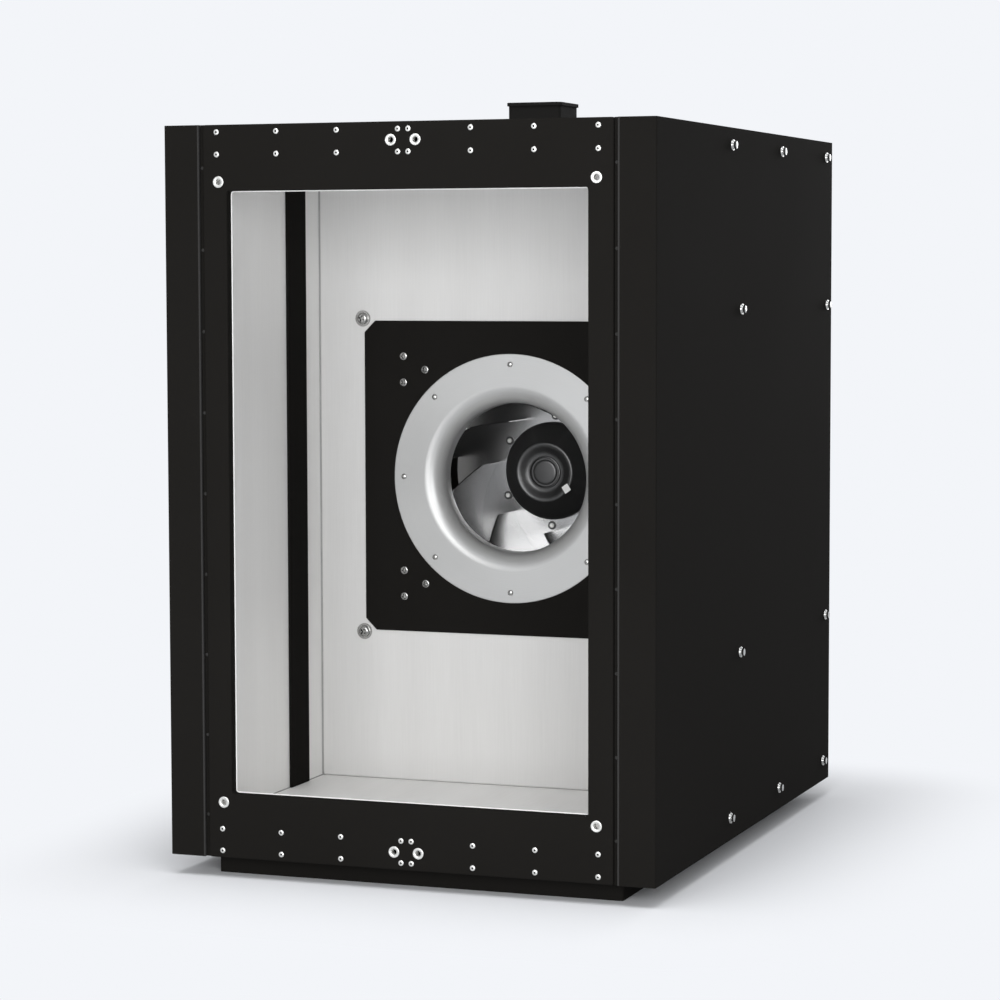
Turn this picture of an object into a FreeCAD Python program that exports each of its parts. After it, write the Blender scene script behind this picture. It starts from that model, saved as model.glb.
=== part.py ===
"""Fan section of an air handling unit: an insulated black casing with a bolted frame at each end,
a bulkhead across the inside that carries an inlet ring, and a backward curved fan behind it.

Millimetres.  X runs to the right as seen from the air inlet, Y runs with the air from the inlet end
to the outlet end, and Z is up.  The origin is on the floor, under the middle of the casing.
"""
import FreeCAD
import Part
import math
import os
import Sketcher

Vector = FreeCAD.Vector

# Driving dimensions
SIZES = {
    # Casing
    "casing_width": 700,
    "casing_height": 1000,
    "casing_depth": 922,
    "panel_thickness": 46,
    "panel_end_width": 52,
    "panel_edge_radius": 3,
    "liner_sheet": 1,
    # Screws that hold the side panels
    "screw_washer_radius": 8,
    "screw_washer_thickness": 2,
    "screw_corner_radius": 5.8,
    "screw_head_height": 4.5,
    "edge_screw_distance": 353,
    "edge_screw_pitch": 264.5,
    "edge_screw_top_margin": 24,
    "edge_screw_bottom_margin": 32,
    "face_screw_distance": 402,
    "face_screw_back_margin": 30,
    "face_screw_top_margin": 252,
    "face_screw_bottom_margin": 262,
    # Plinth under the casing
    "plinth_height": 28,
    "plinth_side_inset": 56,
    "plinth_end_inset": 37,
    "plinth_rail_width": 45,
    # Pressed frame at each end
    "frame_depth": 14,
    "frame_sheet": 2,
    "frame_groove": 6,
    "frame_side_border": 35,
    "frame_end_border": 89,
    "opening_corner_radius": 3,
    # Threaded rivet nuts in the end frames
    "nut_thread_radius": 3.4,
    "nut_barrel_radius": 5.4,
    "nut_hole_clearance": 0.1,
    "nut_flange_radius": 7.8,
    "nut_flange_thickness": 1.2,
    "nut_barrel_length": 9,
    "corner_nut_margin": 12,
    "centre_nut_spacing": 35,
    "centre_nut_edge_distance": 24.3,
    # Posts inside the side panels
    "post_distance": 293,
    "post_width": 64,
    "post_thickness": 4,
    # Bulkhead and the black plate on it
    "bulkhead_distance": 413,
    "bulkhead_sheet": 2,
    "bulkhead_flange": 25,
    "bulkhead_plate_overlap": 29.5,
    "plate_size": 459,
    "plate_sheet": 2,
    "plate_chamfer": 17,
    "plate_hole_radius": 138,
    # Inlet ring
    "ring_flange_radius": 182,
    "ring_sheet": 1.5,
    "ring_throat_radius": 107,
    "ring_bend_radius": 27,
    "ring_lip": 15,
    # Impeller
    "impeller_radius": 157,
    "impeller_overlap": 7,
    "running_clearance": 5.5,
    "shroud_sheet": 1.5,
    "shroud_lip": 12,
    "shroud_bend_radius": 40,
    "shroud_angle": 60,
    "back_plate_distance": 190,
    "back_plate_sheet": 2,
    "blade_inner_radius": 88,
    "blade_edge_step": 3,
    "blade_knee_distance": 73,
    "blade_lead_step": 4,
    "blade_sheet": 2,
    "blade_wrap_angle": 55.3,
    "blade_curve_radius": 140,
    "blade_first_angle": 118,
    # Motor
    "rotor_radius": 74,
    "rotor_wall": 5,
    "rotor_shoulder": 34,
    "rotor_face_radius": 45,
    "rotor_rise": 46,
    "rotor_bowl_radius": 38,
    "rotor_bowl_depth": 6,
    "rotor_tail": 35,
    "rotor_flange_radius": 92,
    "rotor_flange_thickness": 3,
    "rotor_shaft_radius": 18,
    "cap_radius": 24.5,
    "cap_height": 3,
    "shaft_clearance": 0.3,
    "stator_clearance": 5,
    "stator_flange_radius": 96,
    "stator_flange_thickness": 8,
    "stator_housing_radius": 84,
    "stator_housing_length": 56,
    # Motor carrier
    "carrier_sheet": 4,
    "carrier_hole_clearance": 1,
    "carrier_rim": 34,
    "carrier_arm_width": 44,
    "strut_side_inset": 73.5,
    "strut_end_inset": 70.5,
    "strut_radius": 9,
    "foot_sheet": 3,
    "foot_width": 54,
    "foot_height": 60,
    # Terminal box on the roof
    "box_distance": 513,
    "box_width": 81,
    "box_depth": 83,
    "box_height": 45,
    "box_wall": 3,
    "lid_overhang": 2.5,
    "lid_height": 5,
}
BLADE_COUNT = 7
SCREW_SIDES = 6
EDGE_SCREWS = 3
FULL_TURN = 360

doc = FreeCAD.newDocument("air_handling_unit")
sheet = doc.addObject("Spreadsheet::Sheet", "Sizes")
for row, (alias, number) in enumerate(SIZES.items(), start=1):
    sheet.set(f"A{row}", alias)
    sheet.set(f"B{row}", str(number))
    sheet.setAlias(f"B{row}", alias)
doc.recompute()


class Size:
    """A length or angle: its value now, and the text that binds it to the sheet."""

    def __init__(self, value, text):
        self.value = float(value)
        self.text = text

    def __add__(self, other):
        other = as_size(other)
        return Size(self.value + other.value, f"({self.text} + {other.text})")

    def __sub__(self, other):
        other = as_size(other)
        return Size(self.value - other.value, f"({self.text} - {other.text})")

    def __mul__(self, factor):
        factor = as_size(factor)
        return Size(self.value * factor.value, f"({self.text} * {factor.text})")

    def __truediv__(self, divisor):
        return Size(self.value / divisor, f"({self.text} / {divisor})")

    def __neg__(self):
        return Size(-self.value, f"(-{self.text})")


def as_size(number):
    return number if isinstance(number, Size) else Size(number, str(number))


def size(alias):
    return Size(sheet.get(alias), f"Sizes.{alias}")


def cosine(angle):
    return Size(math.cos(math.radians(angle.value)), f"cos({angle.text} * 1deg)")


def sine(angle):
    return Size(math.sin(math.radians(angle.value)), f"sin({angle.text} * 1deg)")


ZERO = as_size(0)

# Each sketch plane: its role in the body's origin, and the sign of its normal along the third axis
PLANES = {"XY": ("XY_Plane", 1), "XZ": ("XZ_Plane", -1), "YZ": ("YZ_Plane", 1)}


def new_body(name):
    body = doc.addObject("PartDesign::Body", name)
    body.Label = name
    return body


def new_sketch(body, name, plane, position, loops):
    """Closed loops on one of the body's origin planes, moved to a position along the plane's normal."""
    role, normal_sign = PLANES[plane]
    sketch = body.newObject("Sketcher::SketchObject", name)
    support = next(feature for feature in body.Origin.OriginFeatures if feature.Role == role)
    sketch.AttachmentSupport = [(support, "")]
    sketch.MapMode = "FlatFace"
    offset = position if normal_sign > 0 else -position
    sketch.AttachmentOffset = FreeCAD.Placement(Vector(0, 0, offset.value), FreeCAD.Rotation())
    sketch.setExpression("AttachmentOffset.Base.z", offset.text)
    for loop in loops:
        loop(sketch)
    return sketch


def bind(sketch, kind, point, dim):
    """Holds one coordinate of a sketch point at a size."""
    geometry, vertex = point
    if dim.text == "0":
        axis = -2 if kind == "DistanceX" else -1
        sketch.addConstraint(Sketcher.Constraint("PointOnObject", geometry, vertex, axis))
        return
    index = sketch.addConstraint(Sketcher.Constraint(kind, -1, 1, geometry, vertex, dim.value))
    sketch.setExpression(f"Constraints[{index}]", dim.text)


def outline(corners, arcs=None):
    """A closed loop through the corners.  arcs maps the number of a side to its radius, its centre
    and whether it runs anticlockwise; every other side is straight."""
    arcs = arcs or {}

    def draw(sketch):
        sides = []
        count = len(corners)
        for number in range(count):
            start = Vector(corners[number][0].value, corners[number][1].value, 0)
            end_corner = corners[(number + 1) % count]
            end = Vector(end_corner[0].value, end_corner[1].value, 0)
            if number not in arcs:
                sides.append((sketch.addGeometry(Part.LineSegment(start, end)), 1, 2))
                continue
            radius, centre, anticlockwise = arcs[number]
            middle = Vector(centre[0].value, centre[1].value, 0)
            first, last = (start, end) if anticlockwise else (end, start)
            circle = Part.Circle(middle, Vector(0, 0, 1), radius.value)
            angles = [math.atan2(p.y - middle.y, p.x - middle.x) for p in (first, last)]
            geometry = sketch.addGeometry(Part.ArcOfCircle(circle, *angles))
            sides.append((geometry, 1, 2) if anticlockwise else (geometry, 2, 1))
        for number, (geometry, first, last) in enumerate(sides):
            next_side = sides[(number + 1) % count]
            sketch.addConstraint(
                Sketcher.Constraint("Coincident", geometry, last, next_side[0], next_side[1]))
            bind(sketch, "DistanceX", (geometry, first), corners[number][0])
            bind(sketch, "DistanceY", (geometry, first), corners[number][1])
            if number in arcs:
                radius = arcs[number][0]
                index = sketch.addConstraint(
                    Sketcher.Constraint("Radius", geometry, radius.value))
                sketch.setExpression(f"Constraints[{index}]", radius.text)
    return draw


def rectangle(left, right, low, high, radius=None):
    """A rectangle between four sizes, with rounded corners where a radius is given."""
    if radius is None:
        return outline([(left, low), (right, low), (right, high), (left, high)])
    centres = [(right - radius, low + radius), (right - radius, high - radius),
               (left + radius, high - radius), (left + radius, low + radius)]
    corners = [(left + radius, low), (right - radius, low), (right, low + radius),
               (right, high - radius), (right - radius, high), (left + radius, high),
               (left, high - radius), (left, low + radius)]
    arcs = {1: (radius, centres[0], True), 3: (radius, centres[1], True),
            5: (radius, centres[2], True), 7: (radius, centres[3], True)}
    return outline(corners, arcs)


def circle(across, up, radius):
    """A full circle about a point."""
    def draw(sketch):
        centre = Vector(across.value, up.value, 0)
        geometry = sketch.addGeometry(Part.Circle(centre, Vector(0, 0, 1), radius.value))
        bind(sketch, "DistanceX", (geometry, 3), across)
        bind(sketch, "DistanceY", (geometry, 3), up)
        index = sketch.addConstraint(Sketcher.Constraint("Radius", geometry, radius.value))
        sketch.setExpression(f"Constraints[{index}]", radius.text)
    return draw


def slab(body, name, plane, start, end, loops):
    """Material between two positions along the normal of a plane."""
    sketch = new_sketch(body, name + "_sketch", plane, start, loops)
    pad = body.newObject("PartDesign::Pad", name)
    pad.Profile = sketch
    pad.Length = (end - start).value
    pad.setExpression("Length", (end - start).text)
    pad.Reversed = PLANES[plane][1] < 0
    body.Tip = pad
    return pad


def cut(body, name, plane, start, end, loops):
    """A pocket between two positions along the normal of a plane."""
    sketch = new_sketch(body, name + "_sketch", plane, start, loops)
    pocket = body.newObject("PartDesign::Pocket", name)
    pocket.Profile = sketch
    pocket.Length = (end - start).value
    pocket.setExpression("Length", (end - start).text)
    pocket.Reversed = PLANES[plane][1] > 0
    body.Tip = pocket
    return pocket


def turned(body, name, kind, loops):
    """A solid or a groove of revolution about the body's own Y axis.  The loops hold positions along
    Y across, and radii up."""
    sketch = new_sketch(body, name + "_sketch", "YZ", ZERO, loops)
    feature = body.newObject(kind, name)
    feature.Profile = sketch
    feature.ReferenceAxis = (sketch, ["H_Axis"])
    feature.Angle = FULL_TURN
    body.Tip = feature
    return feature


# Positions that several pieces share
half_width = size("casing_width") / 2
front = -(size("casing_depth") / 2)
back = size("casing_depth") / 2
floor_line = size("plinth_height")
roof_line = floor_line + size("casing_height")
middle_height = floor_line + size("casing_height") / 2
wall_thickness = size("panel_thickness") + size("liner_sheet")
inside_half = half_width - wall_thickness
inside_floor = floor_line + wall_thickness
inside_roof = roof_line - wall_thickness
groove_half = half_width - size("panel_end_width")
frame_half = groove_half - size("frame_groove")
opening_half = frame_half - size("frame_side_border")
opening_low = floor_line + size("frame_end_border")
opening_high = roof_line - size("frame_end_border")
front_inner = front + size("frame_depth")
back_inner = back - size("frame_depth")
bulkhead_front = front + size("bulkhead_distance")
bulkhead_back = bulkhead_front + size("bulkhead_sheet")
plate_half = size("plate_size") / 2
strut_across = plate_half - size("strut_side_inset")
strut_up = plate_half - size("strut_end_inset")


# Plinth: a closed ring of steel rail under the casing, set back on all four sides
def make_plinth():
    body = new_body("plinth")
    outer_x = half_width - size("plinth_side_inset")
    outer_y = back - size("plinth_end_inset")
    rail = size("plinth_rail_width")
    slab(body, "plinth_ring", "XY", ZERO, floor_line, [
        rectangle(-outer_x, outer_x, -outer_y, outer_y),
        rectangle(rail - outer_x, outer_x - rail, rail - outer_y, outer_y - rail)])


# Floor and roof: insulated panels between the two end frames
def make_floor_and_roof():
    skin_half = inside_half + size("liner_sheet")
    levels = {"floor": (floor_line, inside_floor - size("liner_sheet"), inside_floor),
              "roof": (roof_line, inside_roof + size("liner_sheet"), inside_roof)}
    for name, (outer, joint, inner) in levels.items():
        plan = rectangle(-skin_half, skin_half, front_inner, back_inner)
        low, high = (outer, joint) if name == "floor" else (joint, outer)
        slab(new_body(name + "_panel"), name + "_core", "XY", low, high, [plan])
        plan = rectangle(-inside_half, inside_half, front_inner, back_inner)
        low, high = (joint, inner) if name == "floor" else (inner, joint)
        slab(new_body(name + "_liner"), name + "_skin", "XY", low, high, [plan])


# Side panels: full height and depth, with a lip at each end that closes on the end frame
def make_side_panels():
    radius = size("panel_edge_radius")
    face = inside_half + size("liner_sheet")
    for side, sign in (("left", -1), ("right", 1)):
        corners = [(groove_half, front), (half_width - radius, front), (half_width, front + radius),
                   (half_width, back - radius), (half_width - radius, back), (groove_half, back),
                   (groove_half, back_inner), (face, back_inner), (face, front_inner),
                   (groove_half, front_inner)]
        arcs = {1: (radius, (half_width - radius, front + radius), True),
                3: (radius, (half_width - radius, back - radius), True)}
        if sign < 0:
            corners = [(-across, up) for across, up in corners]
            arcs = {number: (radius, (-centre[0], centre[1]), False)
                    for number, (radius, centre, _) in arcs.items()}
        slab(new_body(side + "_panel"), side + "_core", "XY", floor_line, roof_line,
             [outline(corners, arcs)])
        low, high = (inside_half, face) if sign > 0 else (-face, -inside_half)
        slab(new_body(side + "_liner"), side + "_skin", "XY", inside_floor, inside_roof,
             [rectangle(low, high, front_inner, back_inner)])


# Panel screws: hexagon headed screws with sealing washers, which hold the side panels to the frame
# inside them.  Six run near the top and bottom edges, and four stand between these.
def make_panel_screws():
    first = front + size("edge_screw_distance")
    edge_rows = (floor_line + size("edge_screw_bottom_margin"),
                 roof_line - size("edge_screw_top_margin"))
    face_rows = (floor_line + size("face_screw_bottom_margin"),
                 roof_line - size("face_screw_top_margin"))
    places = [(first + size("edge_screw_pitch") * step, z)
              for step in range(EDGE_SCREWS) for z in edge_rows]
    places += [(y, z) for y in (front + size("face_screw_distance"), back - size("face_screw_back_margin"))
               for z in face_rows]
    corner = size("screw_corner_radius")
    turns = [as_size(FULL_TURN / SCREW_SIDES * step) for step in range(SCREW_SIDES)]
    washers = [circle(y, z, size("screw_washer_radius")) for y, z in places]
    heads = [outline([(y + corner * sine(turn), z + corner * cosine(turn)) for turn in turns])
             for y, z in places]
    washer_face = half_width + size("screw_washer_thickness")
    head_face = washer_face + size("screw_head_height")
    for side, sign in (("left", -1), ("right", 1)):
        body = new_body(side + "_panel_screws")
        for label, near, far, loops in (("washers", half_width, washer_face, washers),
                                        ("heads", washer_face, head_face, heads)):
            low, high = (near, far) if sign > 0 else (-far, -near)
            slab(body, f"{side}_{label}", "YZ", low, high, loops)


# End frames: a pressed pan with a window, returns all round, and a stepped flange down each side
def nut_places():
    corner_x = opening_half + size("corner_nut_margin")
    corner_z = opening_high - middle_height + size("corner_nut_margin")
    centre_x = size("centre_nut_spacing") / 2
    centre_z = size("casing_height") / 2 - size("centre_nut_edge_distance")
    return {"corner": (corner_x, corner_z), "centre": (centre_x, centre_z)}


def make_end_frame(name, face, inner):
    """The frame's face is at one end of the casing, and its returns run in from there."""
    body = new_body(name)
    sheet_metal = size("frame_sheet")
    from_front = inner.value > face.value
    back_of_sheet = face + sheet_metal if from_front else face - sheet_metal
    flange_edge = inner - sheet_metal if from_front else inner + sheet_metal
    low, high = (face, inner) if from_front else (inner, face)
    slab(body, name + "_block", "XZ", low, high,
         [rectangle(-frame_half, frame_half, floor_line, roof_line)])
    low, high = (flange_edge, inner) if from_front else (inner, flange_edge)
    slab(body, name + "_flange", "XZ", low, high,
         [rectangle(-groove_half, groove_half, floor_line, roof_line)])
    low, high = (back_of_sheet, inner) if from_front else (inner, back_of_sheet)
    hollow = rectangle(sheet_metal - frame_half, frame_half - sheet_metal,
                       floor_line + sheet_metal, roof_line - sheet_metal)
    cheek = rectangle(-opening_half - sheet_metal, opening_half + sheet_metal,
                      opening_low - sheet_metal, opening_high + sheet_metal,
                      size("opening_corner_radius") + sheet_metal)
    cut(body, name + "_hollow", "XZ", low, high, [hollow, cheek])
    low, high = (face, inner) if from_front else (inner, face)
    cut(body, name + "_window", "XZ", low, high,
        [rectangle(-opening_half, opening_half, opening_low, opening_high,
                   size("opening_corner_radius"))])
    hole = size("nut_barrel_radius") + size("nut_hole_clearance")
    holes = []
    for across, up in nut_places().values():
        for x in (-across, across):
            for z in (middle_height - up, middle_height + up):
                holes.append(circle(x, z, hole))
    low, high = (face, back_of_sheet) if from_front else (back_of_sheet, face)
    cut(body, name + "_nut_holes", "XZ", low, high, holes)


# Rivet nuts: flanged threaded inserts that the next section of the unit bolts to
def make_rivet_nuts(end, face, direction):
    for group, (across, up) in nut_places().items():
        body = new_body(f"{end}_{group}_nuts")
        places = [(x, z) for x in (-across, across) for z in (middle_height - up, middle_height + up)]
        thread = size("nut_thread_radius")
        flange_end = face - size("nut_flange_thickness") * direction
        barrel_end = face + (size("frame_sheet") + size("nut_barrel_length")) * direction
        for label, radius, start, end_position in (
                ("flanges", size("nut_flange_radius"), flange_end, face),
                ("barrels", size("nut_barrel_radius"), face, barrel_end)):
            low, high = (start, end_position) if direction > 0 else (end_position, start)
            loops = []
            for x, z in places:
                loops += [circle(x, z, radius), circle(x, z, thread)]
            slab(body, f"{end}_{group}_{label}", "XZ", low, high, loops)


# Posts: flat black covers over the upright joints of the side panels, inside the inlet chamber
def make_posts():
    near = front + size("post_distance")
    far = near + size("post_width")
    thickness = size("post_thickness")
    for side, low, high in (("left", -inside_half, thickness - inside_half),
                            ("right", inside_half - thickness, inside_half)):
        slab(new_body(side + "_post"), side + "_post_bar", "XY", inside_floor, inside_roof,
             [rectangle(low, high, near, far)])


# Bulkhead: a galvanised sheet across the casing, with a flange turned back all round it
def make_bulkhead():
    body = new_body("bulkhead")
    sheet_metal = size("bulkhead_sheet")
    window = plate_half - size("bulkhead_plate_overlap")
    far = bulkhead_back + size("bulkhead_flange")
    slab(body, "bulkhead_block", "XZ", bulkhead_front, far, [
        rectangle(-inside_half, inside_half, inside_floor, inside_roof)])
    cut(body, "bulkhead_tray", "XZ", bulkhead_back, far, [
        rectangle(sheet_metal - inside_half, inside_half - sheet_metal,
                  inside_floor + sheet_metal, inside_roof - sheet_metal)])
    cut(body, "bulkhead_window", "XZ", bulkhead_front, bulkhead_back, [
        rectangle(-window, window, middle_height - window, middle_height + window)])


# Fan plate: a black square plate with cut corners on the face of the bulkhead
def make_fan_plate():
    body = new_body("fan_plate")
    short = plate_half - size("plate_chamfer")
    corners = [(-short, -plate_half), (short, -plate_half), (plate_half, -short), (plate_half, short),
               (short, plate_half), (-short, plate_half), (-plate_half, short), (-plate_half, -short)]
    raised = [(across, middle_height + up) for across, up in corners]
    slab(body, "fan_plate_sheet", "XZ", bulkhead_front - size("plate_sheet"), bulkhead_front, [
        outline(raised), circle(ZERO, middle_height, size("plate_hole_radius"))])


def on_fan_axis(name):
    """A body whose own Y axis is the axis of the fan."""
    body = new_body(name)
    body.Placement = FreeCAD.Placement(Vector(0, 0, middle_height.value), FreeCAD.Rotation())
    body.setExpression("Placement.Base.z", middle_height.text)
    return body


# Inlet ring: one spinning of galvanised sheet, a flat flange that curves into the throat
ring_back = bulkhead_front - size("plate_sheet")
ring_front = ring_back - size("ring_sheet")
ring_end = ring_front + size("ring_bend_radius") + size("ring_lip")


def make_inlet_ring():
    sheet_metal = size("ring_sheet")
    throat = size("ring_throat_radius")
    bend = size("ring_bend_radius")
    edge = size("ring_flange_radius")
    bend_top = throat + bend
    corners = [(ring_front, edge), (ring_front, bend_top), (ring_front + bend, throat),
               (ring_end, throat), (ring_end, throat + sheet_metal),
               (ring_front + bend, throat + sheet_metal), (ring_back, bend_top), (ring_back, edge)]
    centre = (ring_front + bend, bend_top)
    arcs = {1: (bend, centre, True), 5: (bend - sheet_metal, centre, False)}
    turned(on_fan_axis("inlet_ring"), "inlet_ring_spinning", "PartDesign::Revolution",
           [outline(corners, arcs)])


# Impeller: a curved shroud, a back plate and seven backward curved blades of aluminium sheet
shroud_start = ring_end - size("impeller_overlap")
shroud_bend_start = shroud_start + size("shroud_lip")
shroud_inlet = size("ring_throat_radius") + size("ring_sheet") + size("running_clearance")
shroud_centre = (shroud_bend_start, shroud_inlet + size("shroud_bend_radius"))
back_plate_front = bulkhead_front + size("back_plate_distance")
back_plate_back = back_plate_front + size("back_plate_sheet")


def shroud_points(offset):
    """The shroud's curve at an offset outwards from its inner face: lip, end of bend and rim."""
    bend = size("shroud_bend_radius") - offset
    angle = size("shroud_angle")
    lip = (shroud_start, shroud_inlet + offset)
    bend_start = (shroud_bend_start, shroud_inlet + offset)
    bend_end = (shroud_centre[0] + bend * sine(angle), shroud_centre[1] - bend * cosine(angle))
    run = size("impeller_radius") - bend_end[1]
    slope = Size(1 / math.tan(math.radians(angle.value)), f"(1 / tan({angle.text} * 1deg))")
    rim = (bend_end[0] + run * slope, size("impeller_radius"))
    return lip, bend_start, bend_end, rim, bend


def make_shroud():
    lip, bend_start, bend_end, rim, bend = shroud_points(ZERO)
    out_lip, out_start, out_end, out_rim, out_bend = shroud_points(size("shroud_sheet"))
    corners = [lip, bend_start, bend_end, rim, out_rim, out_end, out_start, out_lip]
    arcs = {1: (bend, shroud_centre, True), 5: (out_bend, shroud_centre, False)}
    turned(on_fan_axis("impeller_shroud"), "shroud_spinning", "PartDesign::Revolution",
           [outline(corners, arcs)])


def make_back_plate():
    body = on_fan_axis("impeller_back_plate")
    hole = size("rotor_radius")
    turned(body, "back_plate_disc", "PartDesign::Revolution", [
        rectangle(back_plate_front, back_plate_back, hole, size("impeller_radius"))])


def make_blades():
    """A blade is a bent strip, trimmed to the shroud and the impeller's radius.  Its leading edge
    runs straight forward from the back plate to a knee, and slants out to the shroud from there."""
    inner = size("blade_inner_radius")
    outer = size("impeller_radius")
    sheet_metal = size("blade_sheet")
    wrap = size("blade_wrap_angle")
    bend = size("blade_curve_radius")
    root = (inner, ZERO)
    tip = (outer * cosine(wrap), outer * sine(wrap))
    chord_x = tip[0].value - inner.value
    chord_z = tip[1].value
    chord = math.hypot(chord_x, chord_z)
    reach = math.sqrt(bend.value ** 2 - chord ** 2 / 4)
    centre = (as_size(inner.value + chord_x / 2 - chord_z / chord * reach),
              as_size(chord_z / 2 + chord_x / chord * reach))
    outer_centre = (centre[0] + sheet_metal, centre[1])
    strip = outline([root, (root[0] + sheet_metal, root[1]), (tip[0] + sheet_metal, tip[1]), tip],
                    {1: (bend, outer_centre, True), 3: (bend, centre, False)})
    bend_start, bend_end, rim, shroud_bend = shroud_points(ZERO)[1:]
    lead = (shroud_bend_start, shroud_inlet - size("blade_lead_step"))
    edge = inner + size("blade_edge_step")
    knee = (back_plate_front - size("blade_knee_distance"), edge)
    waste_in = inner - sheet_metal
    waste_out = outer + sheet_metal * 2
    waste = outline([
        (shroud_start, waste_in), (back_plate_front, waste_in), (back_plate_front, edge), knee, lead,
        bend_start, bend_end, rim, (back_plate_front, outer), (back_plate_front, waste_out),
        (shroud_start, waste_out)], {5: (shroud_bend, shroud_centre, True)})
    for number in range(1, BLADE_COUNT + 1):
        name = f"blade_{number}"
        body = on_fan_axis(name)
        slab(body, name + "_strip", "XZ", shroud_start, back_plate_front, [strip])
        turned(body, name + "_trim", "PartDesign::Groove", [waste])
        turn = size("blade_first_angle") + as_size(FULL_TURN * (number - 1)) / BLADE_COUNT
        body.Placement = FreeCAD.Placement(Vector(0, 0, middle_height.value),
                                           FreeCAD.Rotation(Vector(0, 1, 0), -turn.value))
        body.setExpression("Placement.Rotation.Angle", (-turn).text)
        body.setExpression("Placement.Base.z", middle_height.text)


# Rotor: the black bell of an external rotor motor, open at the back, with its shaft down the middle
# and a shallow bowl in its face
rotor_front = back_plate_front - size("rotor_rise")
bowl_floor = rotor_front + size("rotor_bowl_depth")
rotor_end = back_plate_back + size("rotor_tail")
stator_front = rotor_end + size("stator_clearance")


def make_rotor():
    wall = size("rotor_wall")
    radius = size("rotor_radius")
    shaft = size("rotor_shaft_radius")
    shoulder = rotor_front + size("rotor_shoulder")
    flange = size("rotor_flange_radius")
    flange_back = back_plate_back + size("rotor_flange_thickness")
    seat = stator_front - size("shaft_clearance")
    bell = outline([
        (bowl_floor, ZERO), (seat, ZERO), (seat, shaft), (bowl_floor + wall, shaft),
        (bowl_floor + wall, size("rotor_face_radius") - wall), (shoulder + wall, radius - wall),
        (rotor_end, radius - wall), (rotor_end, radius), (flange_back, radius),
        (flange_back, flange), (back_plate_back, flange), (back_plate_back, radius),
        (shoulder, radius), (rotor_front, size("rotor_face_radius")),
        (bowl_floor, size("rotor_bowl_radius"))])
    turned(on_fan_axis("rotor"), "rotor_bell", "PartDesign::Revolution", [bell])
    turned(on_fan_axis("rotor_cap"), "rotor_cap_disc", "PartDesign::Revolution", [
        rectangle(bowl_floor - size("cap_height"), bowl_floor, ZERO, size("cap_radius"))])


# Motor housing: the still half of the motor, a flange and a round cast housing behind it
carrier_front = stator_front + size("stator_flange_thickness")
carrier_back = carrier_front + size("carrier_sheet")


def make_motor_housing():
    flange = size("stator_flange_radius")
    housing = size("stator_housing_radius")
    end = carrier_front + size("stator_housing_length")
    turned(on_fan_axis("motor_housing"), "motor_housing_casting", "PartDesign::Revolution", [
        outline([(stator_front, ZERO), (end, ZERO), (end, housing), (carrier_front, housing),
                 (carrier_front, flange), (stator_front, flange)])])


# Motor carrier: a flat steel ring with four arms, held on the fan plate by four round struts
def make_motor_carrier():
    body = on_fan_axis("motor_carrier")
    hole = size("stator_housing_radius") + size("carrier_hole_clearance")
    rim = hole + size("carrier_rim")
    slab(body, "carrier_ring", "XZ", carrier_front, carrier_back, [circle(ZERO, ZERO, rim)])
    half_arm = size("carrier_arm_width") / 2
    for label, sign in (("rising", 1), ("falling", -1)):
        ends = [(-strut_across - half_arm, half_arm - strut_up),
                (half_arm - strut_across, -strut_up - half_arm),
                (strut_across + half_arm, strut_up - half_arm),
                (strut_across - half_arm, strut_up + half_arm)]
        if sign < 0:
            ends = [(-x, z) for x, z in reversed(ends)]
        slab(body, "carrier_arm_" + label, "XZ", carrier_front, carrier_back, [outline(ends)])
    cut(body, "carrier_hole", "XZ", carrier_front, carrier_back, [circle(ZERO, ZERO, hole)])


def make_struts():
    half_foot = size("foot_width") / 2
    half_height = size("foot_height") / 2
    foot_back = bulkhead_front + size("foot_sheet")
    for side, x in (("left", -strut_across), ("right", strut_across)):
        for level, z in (("lower", -strut_up), ("upper", strut_up)):
            name = f"{level}_{side}_strut"
            body = on_fan_axis(name)
            slab(body, name + "_foot", "XZ", bulkhead_front, foot_back, [
                rectangle(x - half_foot, x + half_foot, z - half_height, z + half_height)])
            slab(body, name + "_tube", "XZ", foot_back, carrier_front, [
                circle(x, z, size("strut_radius"))])


# Terminal box: a small plastic box on the roof over the motor, with a lid that overhangs it
def make_terminal_box():
    half = size("box_width") / 2
    near = front + size("box_distance")
    far = near + size("box_depth")
    wall = size("box_wall")
    top = roof_line + size("box_height")
    body = new_body("terminal_box")
    slab(body, "box_block", "XY", roof_line, top, [rectangle(-half, half, near, far)])
    cut(body, "box_hollow", "XY", roof_line + wall, top, [
        rectangle(wall - half, half - wall, near + wall, far - wall)])
    over = size("lid_overhang")
    slab(new_body("terminal_box_lid"), "lid_block", "XY", top, top + size("lid_height"), [
        rectangle(-half - over, half + over, near - over, far + over)])


make_plinth()
make_floor_and_roof()
make_side_panels()
make_panel_screws()
make_end_frame("front_frame", front, front_inner)
make_end_frame("back_frame", back, back_inner)
make_rivet_nuts("front", front, 1)
make_rivet_nuts("back", back, -1)
make_posts()
make_bulkhead()
make_fan_plate()
make_inlet_ring()
make_shroud()
make_back_plate()
make_blades()
make_rotor()
make_motor_housing()
make_motor_carrier()
make_struts()
make_terminal_box()
doc.recompute()

# Every object has to be sound before anything is written
bodies = [item for item in doc.Objects if item.TypeId == "PartDesign::Body"]
for item in doc.Objects:
    if "Invalid" in item.State or "Error" in item.State:
        raise RuntimeError(f"{item.Label} failed: {item.State}")
for body in bodies:
    if body.Shape.isNull() or not body.Shape.isValid() or not body.Shape.Solids:
        raise RuntimeError(f"{body.Label} has no sound solid")

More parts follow.
